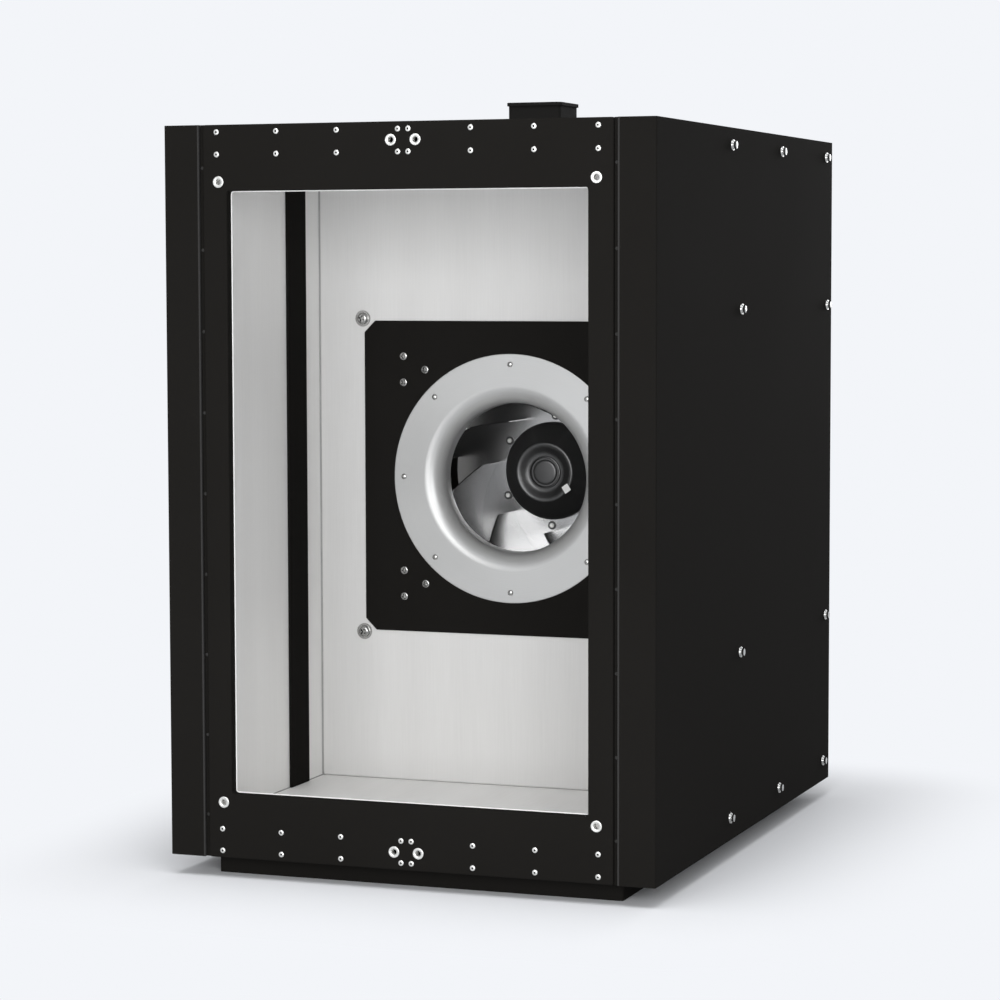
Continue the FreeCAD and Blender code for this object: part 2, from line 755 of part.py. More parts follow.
os.makedirs("parts", exist_ok=True)
for body in bodies:
    body.Shape.exportStep(f"parts/{body.Label}.step")
    box = body.Shape.BoundBox
    print(f"{body.Label:22s} solids {len(body.Shape.Solids)}  volume {body.Shape.Volume / 1000:10.1f} cm3  "
          f"x {box.XMin:.1f} {box.XMax:.1f}  y {box.YMin:.1f} {box.YMax:.1f}  z {box.ZMin:.1f} {box.ZMax:.1f}")
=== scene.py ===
"""The looks of a fan section of an air handling unit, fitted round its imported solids.

Metres.  X runs to the right as seen from the air inlet, Y runs with the air and Z is up.
"""
import bmesh
import bpy
import math
from mathutils import Matrix, Vector


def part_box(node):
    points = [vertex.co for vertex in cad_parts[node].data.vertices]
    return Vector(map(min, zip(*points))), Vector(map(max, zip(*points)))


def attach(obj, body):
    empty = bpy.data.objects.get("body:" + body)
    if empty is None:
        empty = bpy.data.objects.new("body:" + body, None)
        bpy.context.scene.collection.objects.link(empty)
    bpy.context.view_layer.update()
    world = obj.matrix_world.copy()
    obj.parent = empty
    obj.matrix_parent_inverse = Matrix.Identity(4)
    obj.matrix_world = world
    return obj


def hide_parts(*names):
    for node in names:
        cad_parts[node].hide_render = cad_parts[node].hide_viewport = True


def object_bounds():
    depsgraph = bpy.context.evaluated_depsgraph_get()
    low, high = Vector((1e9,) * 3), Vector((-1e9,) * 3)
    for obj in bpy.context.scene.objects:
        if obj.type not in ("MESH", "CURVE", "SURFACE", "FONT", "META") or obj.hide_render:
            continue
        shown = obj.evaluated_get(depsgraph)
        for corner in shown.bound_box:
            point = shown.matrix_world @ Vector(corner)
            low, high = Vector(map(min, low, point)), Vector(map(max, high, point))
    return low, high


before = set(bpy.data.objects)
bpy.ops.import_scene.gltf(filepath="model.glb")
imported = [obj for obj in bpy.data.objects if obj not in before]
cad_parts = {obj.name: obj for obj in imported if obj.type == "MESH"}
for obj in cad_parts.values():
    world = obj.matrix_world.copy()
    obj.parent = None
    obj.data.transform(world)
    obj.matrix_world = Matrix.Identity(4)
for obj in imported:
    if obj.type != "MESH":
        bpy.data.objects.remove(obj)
cad_low, cad_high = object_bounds()

# Camera
# It stands to the right of the inlet, a little over four metres off and somewhat lower than the
# roof, and looks slightly down through a long lens.
camera = bpy.data.objects.new("camera", bpy.data.cameras.new("camera"))
bpy.context.scene.collection.objects.link(camera)
bpy.context.scene.camera = camera
camera.data.sensor_width = 36
camera.data.lens = 108.6
camera_place = (1.50644, -4.16838, 0.83554)
camera_turn, camera_tilt, camera_roll = 0.35421, -0.0770, -0.00225
camera.matrix_world = (Matrix.Translation(camera_place) @ Matrix.Rotation(camera_turn, 4, "Z")
                       @ Matrix.Rotation(math.pi / 2 + camera_tilt, 4, "X")
                       @ Matrix.Rotation(camera_roll, 4, "Z"))
bpy.context.scene.view_settings.view_transform = "Standard"


# Studio
# A pale floor runs out into pale paper of the same colour, under even light from all round.  Two
# soft lamps in front reach into the casing, one hangs overhead and one stands behind.
def add(tree, kind, inputs=None, **settings):
    """Adds a node.  An input given a socket is linked to it, and any other value is set on it."""
    node = tree.nodes.new(kind)
    for name, value in settings.items():
        setattr(node, name, value)
    for name, value in (inputs or {}).items():
        if isinstance(value, bpy.types.NodeSocket):
            tree.links.new(value, node.inputs[name])
        else:
            node.inputs[name].default_value = value
    return node


def seen_directly(tree):
    """1 for rays from the camera, or that reach it by one mirror or through glass."""
    path = add(tree, "ShaderNodeLightPath")
    seen = path.outputs["Is Camera Ray"]
    for name in ("Is Glossy Ray", "Is Transmission Ray"):
        seen = add(tree, "ShaderNodeMath", {0: seen, 1: path.outputs[name]},
                   operation="MAXIMUM").outputs[0]
    return seen


paper_colour, floor_colour = (0.896, 0.913, 0.947, 1), (0.84, 0.855, 0.885, 1)
ambient_level = 0.45

world = bpy.data.worlds.new("studio")
bpy.context.scene.world = world
world.use_nodes = True
world.node_tree.nodes.clear()
ambient = add(world.node_tree, "ShaderNodeBackground",
              {"Color": (1, 1, 1, 1), "Strength": ambient_level})
paper = add(world.node_tree, "ShaderNodeBackground", {"Color": paper_colour, "Strength": 1})
backdrop = add(world.node_tree, "ShaderNodeMixShader",
               {0: seen_directly(world.node_tree), 1: ambient.outputs[0], 2: paper.outputs[0]})
add(world.node_tree, "ShaderNodeOutputWorld", {0: backdrop.outputs[0]})

floor_half, shadow_reach, paper_reach = 30, 0.0, 0.34
floor_material = bpy.data.materials.new("studio_floor")
floor_material.use_nodes = True
tree = floor_material.node_tree
tree.nodes.clear()
spot = add(tree, "ShaderNodeTexCoord").outputs["Object"]
both_sides = add(tree, "ShaderNodeVectorMath", {0: spot}, operation="ABSOLUTE")
past_casing = add(tree, "ShaderNodeVectorMath",
                  {0: both_sides.outputs[0], 1: (cad_high.x, cad_high.y, 0)}, operation="SUBTRACT")
outside = add(tree, "ShaderNodeVectorMath", {0: past_casing.outputs[0], 1: (0, 0, 0)},
              operation="MAXIMUM")
distance = add(tree, "ShaderNodeVectorMath", {0: outside.outputs[0]}, operation="LENGTH")
far = add(tree, "ShaderNodeMapRange",
          {"Value": distance.outputs["Value"], "From Min": shadow_reach, "From Max": paper_reach},
          interpolation_type="SMOOTHSTEP").outputs[0]
far_and_seen = add(tree, "ShaderNodeMath", {0: far, 1: seen_directly(tree)}, operation="MULTIPLY")
matte = add(tree, "ShaderNodeBsdfDiffuse", {"Color": floor_colour})
glow = add(tree, "ShaderNodeEmission", {"Color": paper_colour, "Strength": 1})
floor_shader = add(tree, "ShaderNodeMixShader",
                   {0: far_and_seen.outputs[0], 1: matte.outputs[0], 2: glow.outputs[0]})
add(tree, "ShaderNodeOutputMaterial", {0: floor_shader.outputs[0]})

floor_mesh = bpy.data.meshes.new("studio_floor")
floor_mesh.from_pydata([(-floor_half, -floor_half, 0), (floor_half, -floor_half, 0),
                        (floor_half, floor_half, 0), (-floor_half, floor_half, 0)], [], [(0, 1, 2, 3)])
floor_mesh.materials.append(floor_material)
floor = bpy.data.objects.new("studio_floor", floor_mesh)
bpy.context.scene.collection.objects.link(floor)

# Each lamp has a place, a width, a height and a power in watts, and faces the middle of the casing
middle = (cad_low + cad_high) / 2
for name, place, width, height, power in (("front_lamp", (0.1, -4.6, 1.1), 2.0, 2.2, 90),
                                          ("fill_lamp", (2.5, -4.2, 1.1), 1.6, 1.8, 68),
                                          ("top_lamp", (0.2, -1.6, 4.4), 2.8, 2.8, 95),
                                          ("back_lamp", (0.35, 4.5, 1.6), 2.6, 2.2, 85)):
    lamp = bpy.data.objects.new(name, bpy.data.lights.new(name, "AREA"))
    lamp.data.shape = "RECTANGLE"
    lamp.data.size = width
    lamp.data.size_y = height
    lamp.data.energy = power
    lamp.location = place
    lamp.rotation_euler = (middle - Vector(place)).to_track_quat("-Z", "Y").to_euler()
    lamp.visible_camera = False
    bpy.context.scene.collection.objects.link(lamp)


# Plinth
# A low ring of folded steel rail that the casing stands on, set back on all four sides and coated
# black like the casing.
def new_finish(name, constants):
    """A material with one shader whose even properties are set on its own sockets."""
    material = bpy.data.materials.new(name)
    material.use_nodes = True
    shader = material.node_tree.nodes["Principled BSDF"]
    for socket, value in constants.items():
        shader.inputs[socket].default_value = value
    return material, material.node_tree, shader


def new_effect(name, inputs, outputs):
    """An empty shader group with named inputs, which hold (kind, start value), and outputs."""
    group = bpy.data.node_groups.new(name, "ShaderNodeTree")
    for label, (kind, value) in inputs.items():
        socket = group.interface.new_socket(name=label, in_out="INPUT", socket_type=kind)
        socket.default_value = value
    for label, kind in outputs.items():
        group.interface.new_socket(name=label, in_out="OUTPUT", socket_type=kind)
    return group, group.nodes.new("NodeGroupInput").outputs


def coat_texture():
    """Orange peel of a sprayed or moulded skin, and the faint cloudiness of its colour."""
    group, given = new_effect("coat_texture", {
        "Peel size": ("NodeSocketFloat", 0.0015), "Cloud size": ("NodeSocketFloat", 0.3)},
        {"Height": "NodeSocketFloat", "Cloud": "NodeSocketFloat"})
    spot = add(group, "ShaderNodeTexCoord").outputs["Object"]
    fine = add(group, "ShaderNodeMath", {0: 1.0, 1: given["Peel size"]}, operation="DIVIDE")
    wide = add(group, "ShaderNodeMath", {0: 1.0, 1: given["Cloud size"]}, operation="DIVIDE")
    peel = add(group, "ShaderNodeTexNoise",
               {"Vector": spot, "Scale": fine.outputs[0], "Detail": 2.0, "Roughness": 0.4})
    cloud = add(group, "ShaderNodeTexNoise",
                {"Vector": spot, "Scale": wide.outputs[0], "Detail": 3.0, "Roughness": 0.5})
    add(group, "NodeGroupOutput", {"Height": peel.outputs[0], "Cloud": cloud.outputs[0]})
    return group


coat_group = coat_texture()


def lay_finish(tree, shader, tone, dark, light, mask, gloss, bump):
    """Mixes the colour by a tone, spreads the roughness by a mask and raises a bump."""
    colour = add(tree, "ShaderNodeMix", {0: tone, 6: (*dark, 1), 7: (*light, 1)}, data_type="RGBA")
    roughness = add(tree, "ShaderNodeMapRange",
                    {"Value": mask, "To Min": gloss[0], "To Max": gloss[1]})
    relief = add(tree, "ShaderNodeBump", bump)
    tree.links.new(colour.outputs[2], shader.inputs["Base Color"])
    tree.links.new(roughness.outputs[0], shader.inputs["Roughness"])
    tree.links.new(relief.outputs[0], shader.inputs["Normal"])


def coated_finish(name, dark, light, gloss, peel_size, peel_depth, constants):
    """A coat between two close colours, with a roughness that varies over the range of gloss."""
    material, tree, shader = new_finish(name, constants)
    effect = add(tree, "ShaderNodeGroup", {"Peel size": peel_size}, node_tree=coat_group)
    cloud = effect.outputs["Cloud"]
    lay_finish(tree, shader, cloud, dark, light, cloud, gloss,
               {"Height": effect.outputs["Height"], "Distance": peel_depth})
    return material


powder_coat = coated_finish("satin_powder_coat", (0.0090, 0.0084, 0.0076), (0.0120, 0.0113, 0.0105),
                            gloss=(0.74, 0.86), peel_size=0.0016, peel_depth=0.00004,
                            constants={"Specular IOR Level": 0.010})


def arc_points(across, up, radius, start, end, steps):
    """Points of an arc about a centre, between two angles in degrees."""
    angles = [math.radians(start + (end - start) * step / steps) for step in range(steps + 1)]
    return [(across + radius * math.cos(angle), up + radius * math.sin(angle)) for angle in angles]


def loop_points(left, right, low, high, radius, steps, inset=0):
    """A rectangle with round corners, anticlockwise from its low right corner.  An inset draws it
    smaller about the same corner centres."""
    points = []
    for across, up, start in ((right - radius, low + radius, -90), (right - radius, high - radius, 0),
                              (left + radius, high - radius, 90), (left + radius, low + radius, 180)):
        points += arc_points(across, up, radius - inset, start, start + 90, steps)
    return points


def add_outline(shape, points):
    """Joins points in space to a closed loop, and gives back its edges."""
    corners = [shape.verts.new(point) for point in points]
    return [shape.edges.new((corners[number - 1], corners[number])) for number in range(len(corners))]


# How (across, up, depth) lies in space on each plane
PLANES = {"XY": lambda across, up, depth: (across, up, depth),
          "XZ": lambda across, up, depth: (across, depth, up)}


def add_plate(shape, plane, low, high, outlines):
    """A flat plate between two depths.  The first outline is its edge and the others are holes."""
    faces = []
    for depth in (low, high):
        loops = [add_outline(shape, [PLANES[plane](*point, depth) for point in outline])
                 for outline in outlines]
        faces.append(loops)
        bmesh.ops.triangle_fill(shape, use_beauty=True, edges=[edge for loop in loops for edge in loop])
    for lower, upper in zip(*faces):
        bmesh.ops.bridge_loops(shape, edges=lower + upper)


def plain_mesh(piece):
    """Puts what a piece's modifiers make of it in place of its mesh, and takes them off."""
    bpy.context.view_layer.update()
    graph = bpy.context.evaluated_depsgraph_get()
    drawn = piece.data
    piece.data = bpy.data.meshes.new_from_object(piece.evaluated_get(graph), depsgraph=graph)
    piece.modifiers.clear()
    bpy.data.meshes.remove(drawn)
    piece.data.name = piece.name


def set_on_body(piece, body, stands_for):
    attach(piece, body)
    if stands_for:
        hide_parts(*stands_for)


def finish_piece(name, shape, material, stands_for=(), body="casing", wall=0, edge=0,
                 edge_steps=2, crease=38):
    """Gives a shape its wall and rounded edges, coats it and sets it on its body as one mesh."""
    mesh = bpy.data.meshes.new(name)
    shape.to_mesh(mesh)
    shape.free()
    mesh.shade_smooth()
    piece = bpy.data.objects.new(name, mesh)
    bpy.context.scene.collection.objects.link(piece)
    if wall:
        solidify = piece.modifiers.new("wall", "SOLIDIFY")
        solidify.thickness = wall
        solidify.offset = -1
        solidify.use_even_offset = True
    if edge:
        bevel = piece.modifiers.new("edge", "BEVEL")
        bevel.width = edge
        bevel.segments = edge_steps
        bevel.limit_method = "ANGLE"
        bevel.angle_limit = math.radians(crease)
        piece.modifiers.new("flats", "WEIGHTED_NORMAL").keep_sharp = True
    plain_mesh(piece)
    if not edge:
        piece.data.set_sharp_from_angle(angle=math.radians(crease))
    piece.data.materials.clear()
    piece.data.materials.append(material)
    set_on_body(piece, body, stands_for)


def closed(shape):
    """Merges the doubles of a closed shape and turns all its faces outwards."""
    bmesh.ops.remove_doubles(shape, verts=shape.verts, dist=1e-6)
    bmesh.ops.recalc_face_normals(shape, faces=shape.faces)
    return shape


plinth_low, plinth_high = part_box("plinth")
rail_width, rail_corner = 0.045, 0.004
plinth_sides = (plinth_low.x, plinth_high.x, plinth_low.y, plinth_high.y)
plinth = bmesh.new()
add_plate(plinth, "XY", plinth_low.z, plinth_high.z,
          [loop_points(*plinth_sides, rail_corner, 3),
           loop_points(*plinth_sides, rail_corner + rail_width, 3, inset=rail_width)])
finish_piece("plinth_rail", closed(plinth), powder_coat, ["plinth"], edge=0.0012)


# Floor and roof panels
# Insulated panels: a black outer skin and a zinc lining, with mineral wool between.  They lie
# between the side panels and the two end frames.
def rectangle(left, right, low, high):
    return [(left, low), (right, low), (right, high), (left, high)]


def box_skin(name, node, edge):
    """A coated box with rounded edges that stands for a node."""
    low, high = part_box(node)
    skin = bmesh.new()
    add_plate(skin, "XY", low.z, high.z, [rectangle(low.x, high.x, low.y, high.y)])
    finish_piece(name, closed(skin), powder_coat, [node], edge=edge)


box_skin("floor_skin", "floor_panel", edge=0.0012)
box_skin("roof_skin", "roof_panel", edge=0.0012)


# Side panels
# Full height panels of the same make.  The outer skin folds round both ends of the casing and
# stops at the groove beside the end frame in a small return.
panel_low, panel_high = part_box("right_panel")
liner_low, liner_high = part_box("right_liner")
fold_radius, fold_steps = 0.003, 6
plan = [(panel_low.x, liner_low.y), (panel_low.x, panel_low.y)]
for centre_y, start in ((panel_low.y + fold_radius, -90), (panel_high.y - fold_radius, 0)):
    plan += arc_points(panel_high.x - fold_radius, centre_y, fold_radius, start, start + 90, fold_steps)
plan += [(panel_low.x, panel_high.y), (panel_low.x, liner_high.y), (liner_high.x, liner_high.y),
         (liner_high.x, liner_low.y)]
for side, sign in (("left", -1), ("right", 1)):
    panel = bmesh.new()
    add_plate(panel, "XY", panel_low.z, panel_high.z,
              [[(sign * across, along) for across, along in plan]])
    finish_piece(side + "_skin", closed(panel), powder_coat,
                 [side + "_panel"], edge=0.001, edge_steps=3, crease=50)


# Painted fold highlights of the side panels
# The steel skin is folded sharply at each return.  A thin strip of paler coat runs up each fold
# beside the groove of each end frame: a painted highlight for the light that the sharp fold catches.
# Paler coat: a painted highlight on the fold strips, and also the own dark grey of the groove rivets
painted_highlight_and_rivet_coat = coated_finish("thin_powder_coat", (0.026, 0.0255, 0.025), (0.038, 0.0375, 0.037),
                          gloss=(0.50, 0.62), peel_size=0.0012, peel_depth=0.00003,
                          constants={"Specular IOR Level": 0.03})
fold_width, fold_proud, fold_depth, fold_gap = 0.0022, 0.0002, 0.004, 0.0005
for side, sign in (("left", -1), ("right", 1)):
    fold = bmesh.new()
    left, right = sorted((sign * (panel_low.x - fold_proud), sign * (panel_low.x + fold_width)))
    for start, end in ((panel_low.y - fold_proud, panel_low.y + fold_depth),
                       (panel_high.y - fold_depth, panel_high.y + fold_proud)):
        add_plate(fold, "XY", panel_low.z + fold_gap, panel_high.z - fold_gap,
                  [rectangle(left, right, start, end)])
    finish_piece(side + "_fold_lines", closed(fold), painted_highlight_and_rivet_coat, edge=0.0002)


# Lining sheets
# One millimetre zinc coated sheet with the faint marks of the rolling mill, glued to the inner
# faces of the floor, roof and side panels.
def rolling_marks():
    """Fine lines and broad soft bands that run along one axis of a rolled sheet."""
    group, given = new_effect("rolling_marks", {
        "Stretch": ("NodeSocketVector", (1, 1, 1)), "Line count": ("NodeSocketFloat", 500),
        "Band count": ("NodeSocketFloat", 9)},
        {"Lines": "NodeSocketFloat", "Bands": "NodeSocketFloat"})
    spot = add(group, "ShaderNodeTexCoord").outputs["Object"]
    drawn = add(group, "ShaderNodeVectorMath", {0: spot, 1: given["Stretch"]}, operation="MULTIPLY")
    lines = add(group, "ShaderNodeTexNoise", {"Vector": drawn.outputs[0],
                                              "Scale": given["Line count"], "Detail": 4.0})
    bands = add(group, "ShaderNodeTexNoise", {"Vector": drawn.outputs[0],
                                              "Scale": given["Band count"], "Detail": 2.0})
    add(group, "NodeGroupOutput", {"Lines": lines.outputs[0], "Bands": bands.outputs[0]})
    return group


rolling_group = rolling_marks()


def blended_tone(tree, broad, fine, share):
    """A tone from a broad and a fine noise, with its middle part spread over the whole range."""
    both = add(tree, "ShaderNodeMix", {0: share, 2: broad, 3: fine})
    spread = add(tree, "ShaderNodeMapRange",
                 {"Value": both.outputs[0], "From Min": 0.3, "From Max": 0.7})
    return spread.outputs[0]


def rolled_finish(name, dark, light, gloss, stretch, constants):
    """Bare or zinc coated sheet whose marks are drawn out along the axis with the small stretch."""
    material, tree, shader = new_finish(name, constants)
    effect = add(tree, "ShaderNodeGroup", {"Stretch": stretch}, node_tree=rolling_group)
    lines = effect.outputs["Lines"]
    tone = blended_tone(tree, effect.outputs["Bands"], lines, share=0.35)
    lay_finish(tree, shader, tone, dark, light, lines, gloss,
               {"Height": lines, "Distance": 0.00002, "Strength": 0.5})
    return material


upright = (1, 1, 0.02)
lengthwise = (1, 0.02, 1)
for way, stretch, nodes in (("upright", upright, ("left_liner", "right_liner")),
                            ("lengthwise", lengthwise, ("floor_liner", "roof_liner"))):
    zinc = rolled_finish("zinc_liner_" + way, (0.76, 0.755, 0.745), (0.84, 0.835, 0.825),
                         gloss=(0.42, 0.58), stretch=stretch,
                         constants={"Metallic": 0.10, "Specular IOR Level": 0.25})
    for name in nodes:
        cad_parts[name].data.materials.clear()
        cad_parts[name].data.materials.append(zinc)


# Sealing lines
# A thin grey bead closes the joints of the side linings with the floor and roof linings, and a
# wider one runs up both sides of the bulkhead.
sealant = coated_finish("grey_sealant", (0.24, 0.24, 0.235), (0.32, 0.32, 0.315),
                        gloss=(0.50, 0.62), peel_size=0.002, peel_depth=0.0001,
                        constants={"Specular IOR Level": 0.3})
bead, bead_sunk, bead_gap = 0.0016, 0.0003, 0.001
bulkhead_bead, bead_before, bead_crest, bead_behind = 0.0030, 0.0012, 0.0006, 0.0040
floor_low, floor_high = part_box("floor_liner")
roof_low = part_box("roof_liner")[0]
bulkhead_low, bulkhead_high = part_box("bulkhead")
beads = bmesh.new()
for wall_x, into in ((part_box("left_liner")[1].x, 1), (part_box("right_liner")[0].x, -1)):
    sunk_x = wall_x - into * bead_sunk
    for level, away in ((floor_high.z, 1), (roof_low.z, -1)):
        corner = [(sunk_x, level - away * bead_sunk), (wall_x + into * bead, level - away * bead_sunk),
                  (sunk_x, level + away * bead)]
        for start, end in ((floor_low.y, bulkhead_low.y), (bulkhead_high.y, floor_high.y)):
            add_plate(beads, "XZ", start + bead_gap, end - bead_gap, [corner])
    add_plate(beads, "XY", floor_high.z + bead, roof_low.z - bead, [
        [(sunk_x, bulkhead_low.y - bead_before),
         (wall_x + into * bulkhead_bead, bulkhead_low.y + bead_crest),
         (sunk_x, bulkhead_low.y + bead_behind)]])
finish_piece("lining_sealant", closed(beads), sealant, crease=20)


# End frames
# A pressed steel pan with a window at each end of the casing.  Its rim is folded back all round
# the outside and round the window, and a stepped flange down each side closes the groove.
def bend_rings(plane_y, end_y, edges, grow, radius, steps):
    """Rings of a quarter bend from a flat face at plane_y and on straight to end_y, the first in the
    face.  grow is 1 where the sheet bends at its outer edge and -1 where it bends into the window."""
    inward = math.copysign(1, end_y - plane_y)
    rings = []
    for step in range(steps + 1):
        angle = math.radians(90 * step / steps)
        inset = radius * (1 - math.sin(angle)) * grow
        depth = plane_y + inward * radius * (1 - math.cos(angle))
        rings.append([(across, depth, up) for across, up in loop_points(*edges, 4, inset)])
    return [*rings, [(across, end_y, up) for across, _, up in rings[-1]]]


def join_loops(shape, near, far):
    """Faces between two closed rows of points, with three corners where the rows meet."""
    for number in range(len(near)):
        corners = list(dict.fromkeys((near[number - 1], near[number], far[number], far[number - 1])))
        if len(corners) > 2:
            shape.faces.new(corners)


def add_rings(shape, rings):
    """Joins rings of as many points each, one to the next, and gives back the edges of the first."""
    rows = [[shape.verts.new(point) for point in ring] for ring in rings]
    for near, far in zip(rows, rows[1:]):
        join_loops(shape, near, far)
    first = rows[0]
    return [shape.edges.get((first[number - 1], first[number])) for number in range(len(first))]


def circle_points(across, up, radius, steps, first=0):
    """Points all round a circle, from an angle in degrees."""
    return arc_points(across, up, radius, first, first + 360, steps)[:-1]


def add_pressed_face(shape, outer_edges, inner_edges, plane_y, holes):
    """The flat of a pressing between two bends, with round or square holes through it."""
    edges = outer_edges + inner_edges
    for hole in holes:
        edges += add_outline(shape, [(across, plane_y, up) for across, up in hole])
    bmesh.ops.triangle_fill(shape, use_beauty=True, edges=edges)


def facing_out(shape, plane_y, inward):
    """Turns the faces of an open pressing so that its flat face looks out of the casing."""
    bmesh.ops.recalc_face_normals(shape, faces=shape.faces)
    flat = max((face for face in shape.faces if abs(face.calc_center_median().y - plane_y) < 1e-6),
               key=lambda face: face.calc_area())
    if flat.normal.y * inward > 0:
        bmesh.ops.reverse_faces(shape, faces=shape.faces)
    return shape


def box_corners(node, inset):
    """The four (across, up) places that lie inset from the corners of a node's box."""
    low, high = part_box(node)
    return [(x, z) for x in (low.x + inset, high.x - inset) for z in (low.z + inset, high.z - inset)]


frame_sheet, frame_bend = 0.002, 0.0022
groove_depth = 0.005
window_half, window_low, window_high, window_corner = 0.257, 0.117, 0.939, 0.004
rim_corner, groove_width, nut_flange, nut_hole_radius = 0.003, 0.006, 0.0078, 0.0055

# Each end's outer face, the inner end of its rim, and the way from the one to the other
frame_low, frame_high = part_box("front_frame")
END_PLANES = {"front": (frame_low.y, frame_high.y, 1),
              "back": (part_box("back_frame")[1].y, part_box("back_frame")[0].y, -1)}
half = frame_high.x - groove_width
rim_edges = (-half, half, frame_low.z, frame_high.z, rim_corner)
window_edges = (-window_half, window_half, window_low, window_high, window_corner)
for end, (face_y, inner_y, inward) in END_PLANES.items():
    pressing = bmesh.new()
    bends = [add_rings(pressing, bend_rings(face_y, inner_y, edges, grow, frame_bend, 5))
             for edges, grow in ((rim_edges, 1), (window_edges, -1))]
    nut_places = (box_corners(end + "_corner_nuts", nut_flange)
                  + box_corners(end + "_centre_nuts", nut_flange))
    add_pressed_face(pressing, *bends, face_y,
                     [circle_points(x, z, nut_hole_radius, 24) for x, z in nut_places])
    finish_piece(end + "_frame_pressing", facing_out(pressing, face_y, inward), powder_coat,
                 [end + "_frame"], wall=frame_sheet, crease=30)
    flange_y = face_y + inward * groove_depth
    groove_floor = bmesh.new()
    for left, right in ((-frame_high.x, -half), (half, frame_high.x)):
        add_plate(groove_floor, "XZ", *sorted((flange_y, inner_y)),
                  [rectangle(left, right, frame_low.z, frame_high.z)])
    finish_piece(end + "_frame_groove", closed(groove_floor), powder_coat,
                 edge=0.0003)


# Window edges
# A zinc strip closes the wool behind the rim of each frame.  Its folded edge stands a little
# proud of the rim and shows as a thin bright line round the window.
def grained_finish(name, dark, light, gloss, grain, constants):
    """Bare or plated metal with a fine even grain, for small hardware and castings."""
    material, tree, shader = new_finish(name, constants)
    effect = add(tree, "ShaderNodeGroup", {"Peel size": grain, "Cloud size": grain * 12},
                 node_tree=coat_group)
    speck = effect.outputs["Height"]
    lay_finish(tree, shader, speck, dark, light, effect.outputs["Cloud"], gloss,
               {"Height": speck, "Distance": grain * 0.05})
    return material


edge_zinc = grained_finish("zinc_edge_strip", (0.84, 0.84, 0.83), (0.90, 0.90, 0.89),
                           gloss=(0.34, 0.46), grain=0.0008, constants={"Specular IOR Level": 0.5})
edge_depth, edge_width = 0.0012, 0.0014
for end, (_, inner_y, inward) in END_PLANES.items():
    trim = bmesh.new()
    add_plate(trim, "XZ", *sorted((inner_y, inner_y + inward * edge_depth)), [
        loop_points(-window_half - frame_sheet, window_half + frame_sheet, window_low - frame_sheet,
                    window_high + frame_sheet, window_corner, 4),
        loop_points(*window_edges, 4, inset=edge_width)])
    finish_piece(end + "_window_edge", closed(trim), edge_zinc, crease=30)


# Rivets and rivet nuts of the end frames
# Domed blind rivets hold each frame's corners and its lifting plates.  Flanged nuts with an open
# thread wait for the bolts of the next section of the unit.
def add_turned(shape, profile, steps):
    """Turns an outline of (along, radius) points about the Z axis, and gives back its rings.  The
    outline starts and ends on the axis or closes on itself."""
    rows = []
    for along, radius in profile:
        if radius < 1e-7:
            rows.append([shape.verts.new((0, 0, along))] * steps)
        else:
            rows.append([shape.verts.new((x, y, along)) for x, y in circle_points(0, 0, radius, steps)])
    pairs = list(zip(rows, rows[1:]))
    if profile[0][1] > 1e-7 and profile[0] != profile[-1]:
        pairs.append((rows[-1], rows[0]))
    for near, far in pairs:
        join_loops(shape, near, far)
    return rows


def head_mesh(name, shape, crease=35):
    """A fastener head that stands on the XY plane and points along Z, to be set out in rows."""
    mesh = bpy.data.meshes.new(name)
    closed(shape).to_mesh(mesh)
    shape.free()
    mesh.shade_smooth()
    mesh.set_sharp_from_angle(angle=math.radians(crease))
    return mesh


def turned_head(name, profile, steps, crease=35):
    shape = bmesh.new()
    add_turned(shape, profile, steps)
    return head_mesh(name, shape, crease)


def fastener_tree():
    """Stands a head on every point of a mesh, square to its facing and turned about it at random."""
    tree = bpy.data.node_groups.new("fastener_rows", "GeometryNodeTree")
    for name, kind in (("Spots", "NodeSocketGeometry"), ("Head", "NodeSocketObject"),
                       ("Finish", "NodeSocketMaterial"), ("Turn", "NodeSocketFloat"),
                       ("Seed", "NodeSocketInt")):
        tree.interface.new_socket(name=name, in_out="INPUT", socket_type=kind)
    tree.interface.new_socket(name="Heads", in_out="OUTPUT", socket_type="NodeSocketGeometry")
    given = tree.nodes.new("NodeGroupInput").outputs
    facing = add(tree, "GeometryNodeInputNamedAttribute", {"Name": "facing"},
                 data_type="FLOAT_VECTOR")
    aim = add(tree, "FunctionNodeAlignRotationToVector", {"Vector": facing.outputs[0]}, axis="Z")
    chance = add(tree, "FunctionNodeRandomValue", {3: given["Turn"], 8: given["Seed"]})
    turn = add(tree, "FunctionNodeAxisAngleToRotation", {"Axis": (0, 0, 1), "Angle": chance.outputs[1]})
    stance = add(tree, "FunctionNodeRotateRotation",
                 {"Rotation": aim.outputs[0], "Rotate By": turn.outputs[0]}, rotation_space="LOCAL")
    head = add(tree, "GeometryNodeObjectInfo", {"Object": given["Head"]})
    heads = add(tree, "GeometryNodeInstanceOnPoints",
                {"Points": given["Spots"], "Instance": head.outputs["Geometry"],
                 "Rotation": stance.outputs[0]})
    real = add(tree, "GeometryNodeRealizeInstances", {0: heads.outputs[0]})
    plated = add(tree, "GeometryNodeSetMaterial", {0: real.outputs[0], "Material": given["Finish"]})
    add(tree, "NodeGroupOutput", {0: plated.outputs[0]})
    return tree


fastener_rows = fastener_tree()


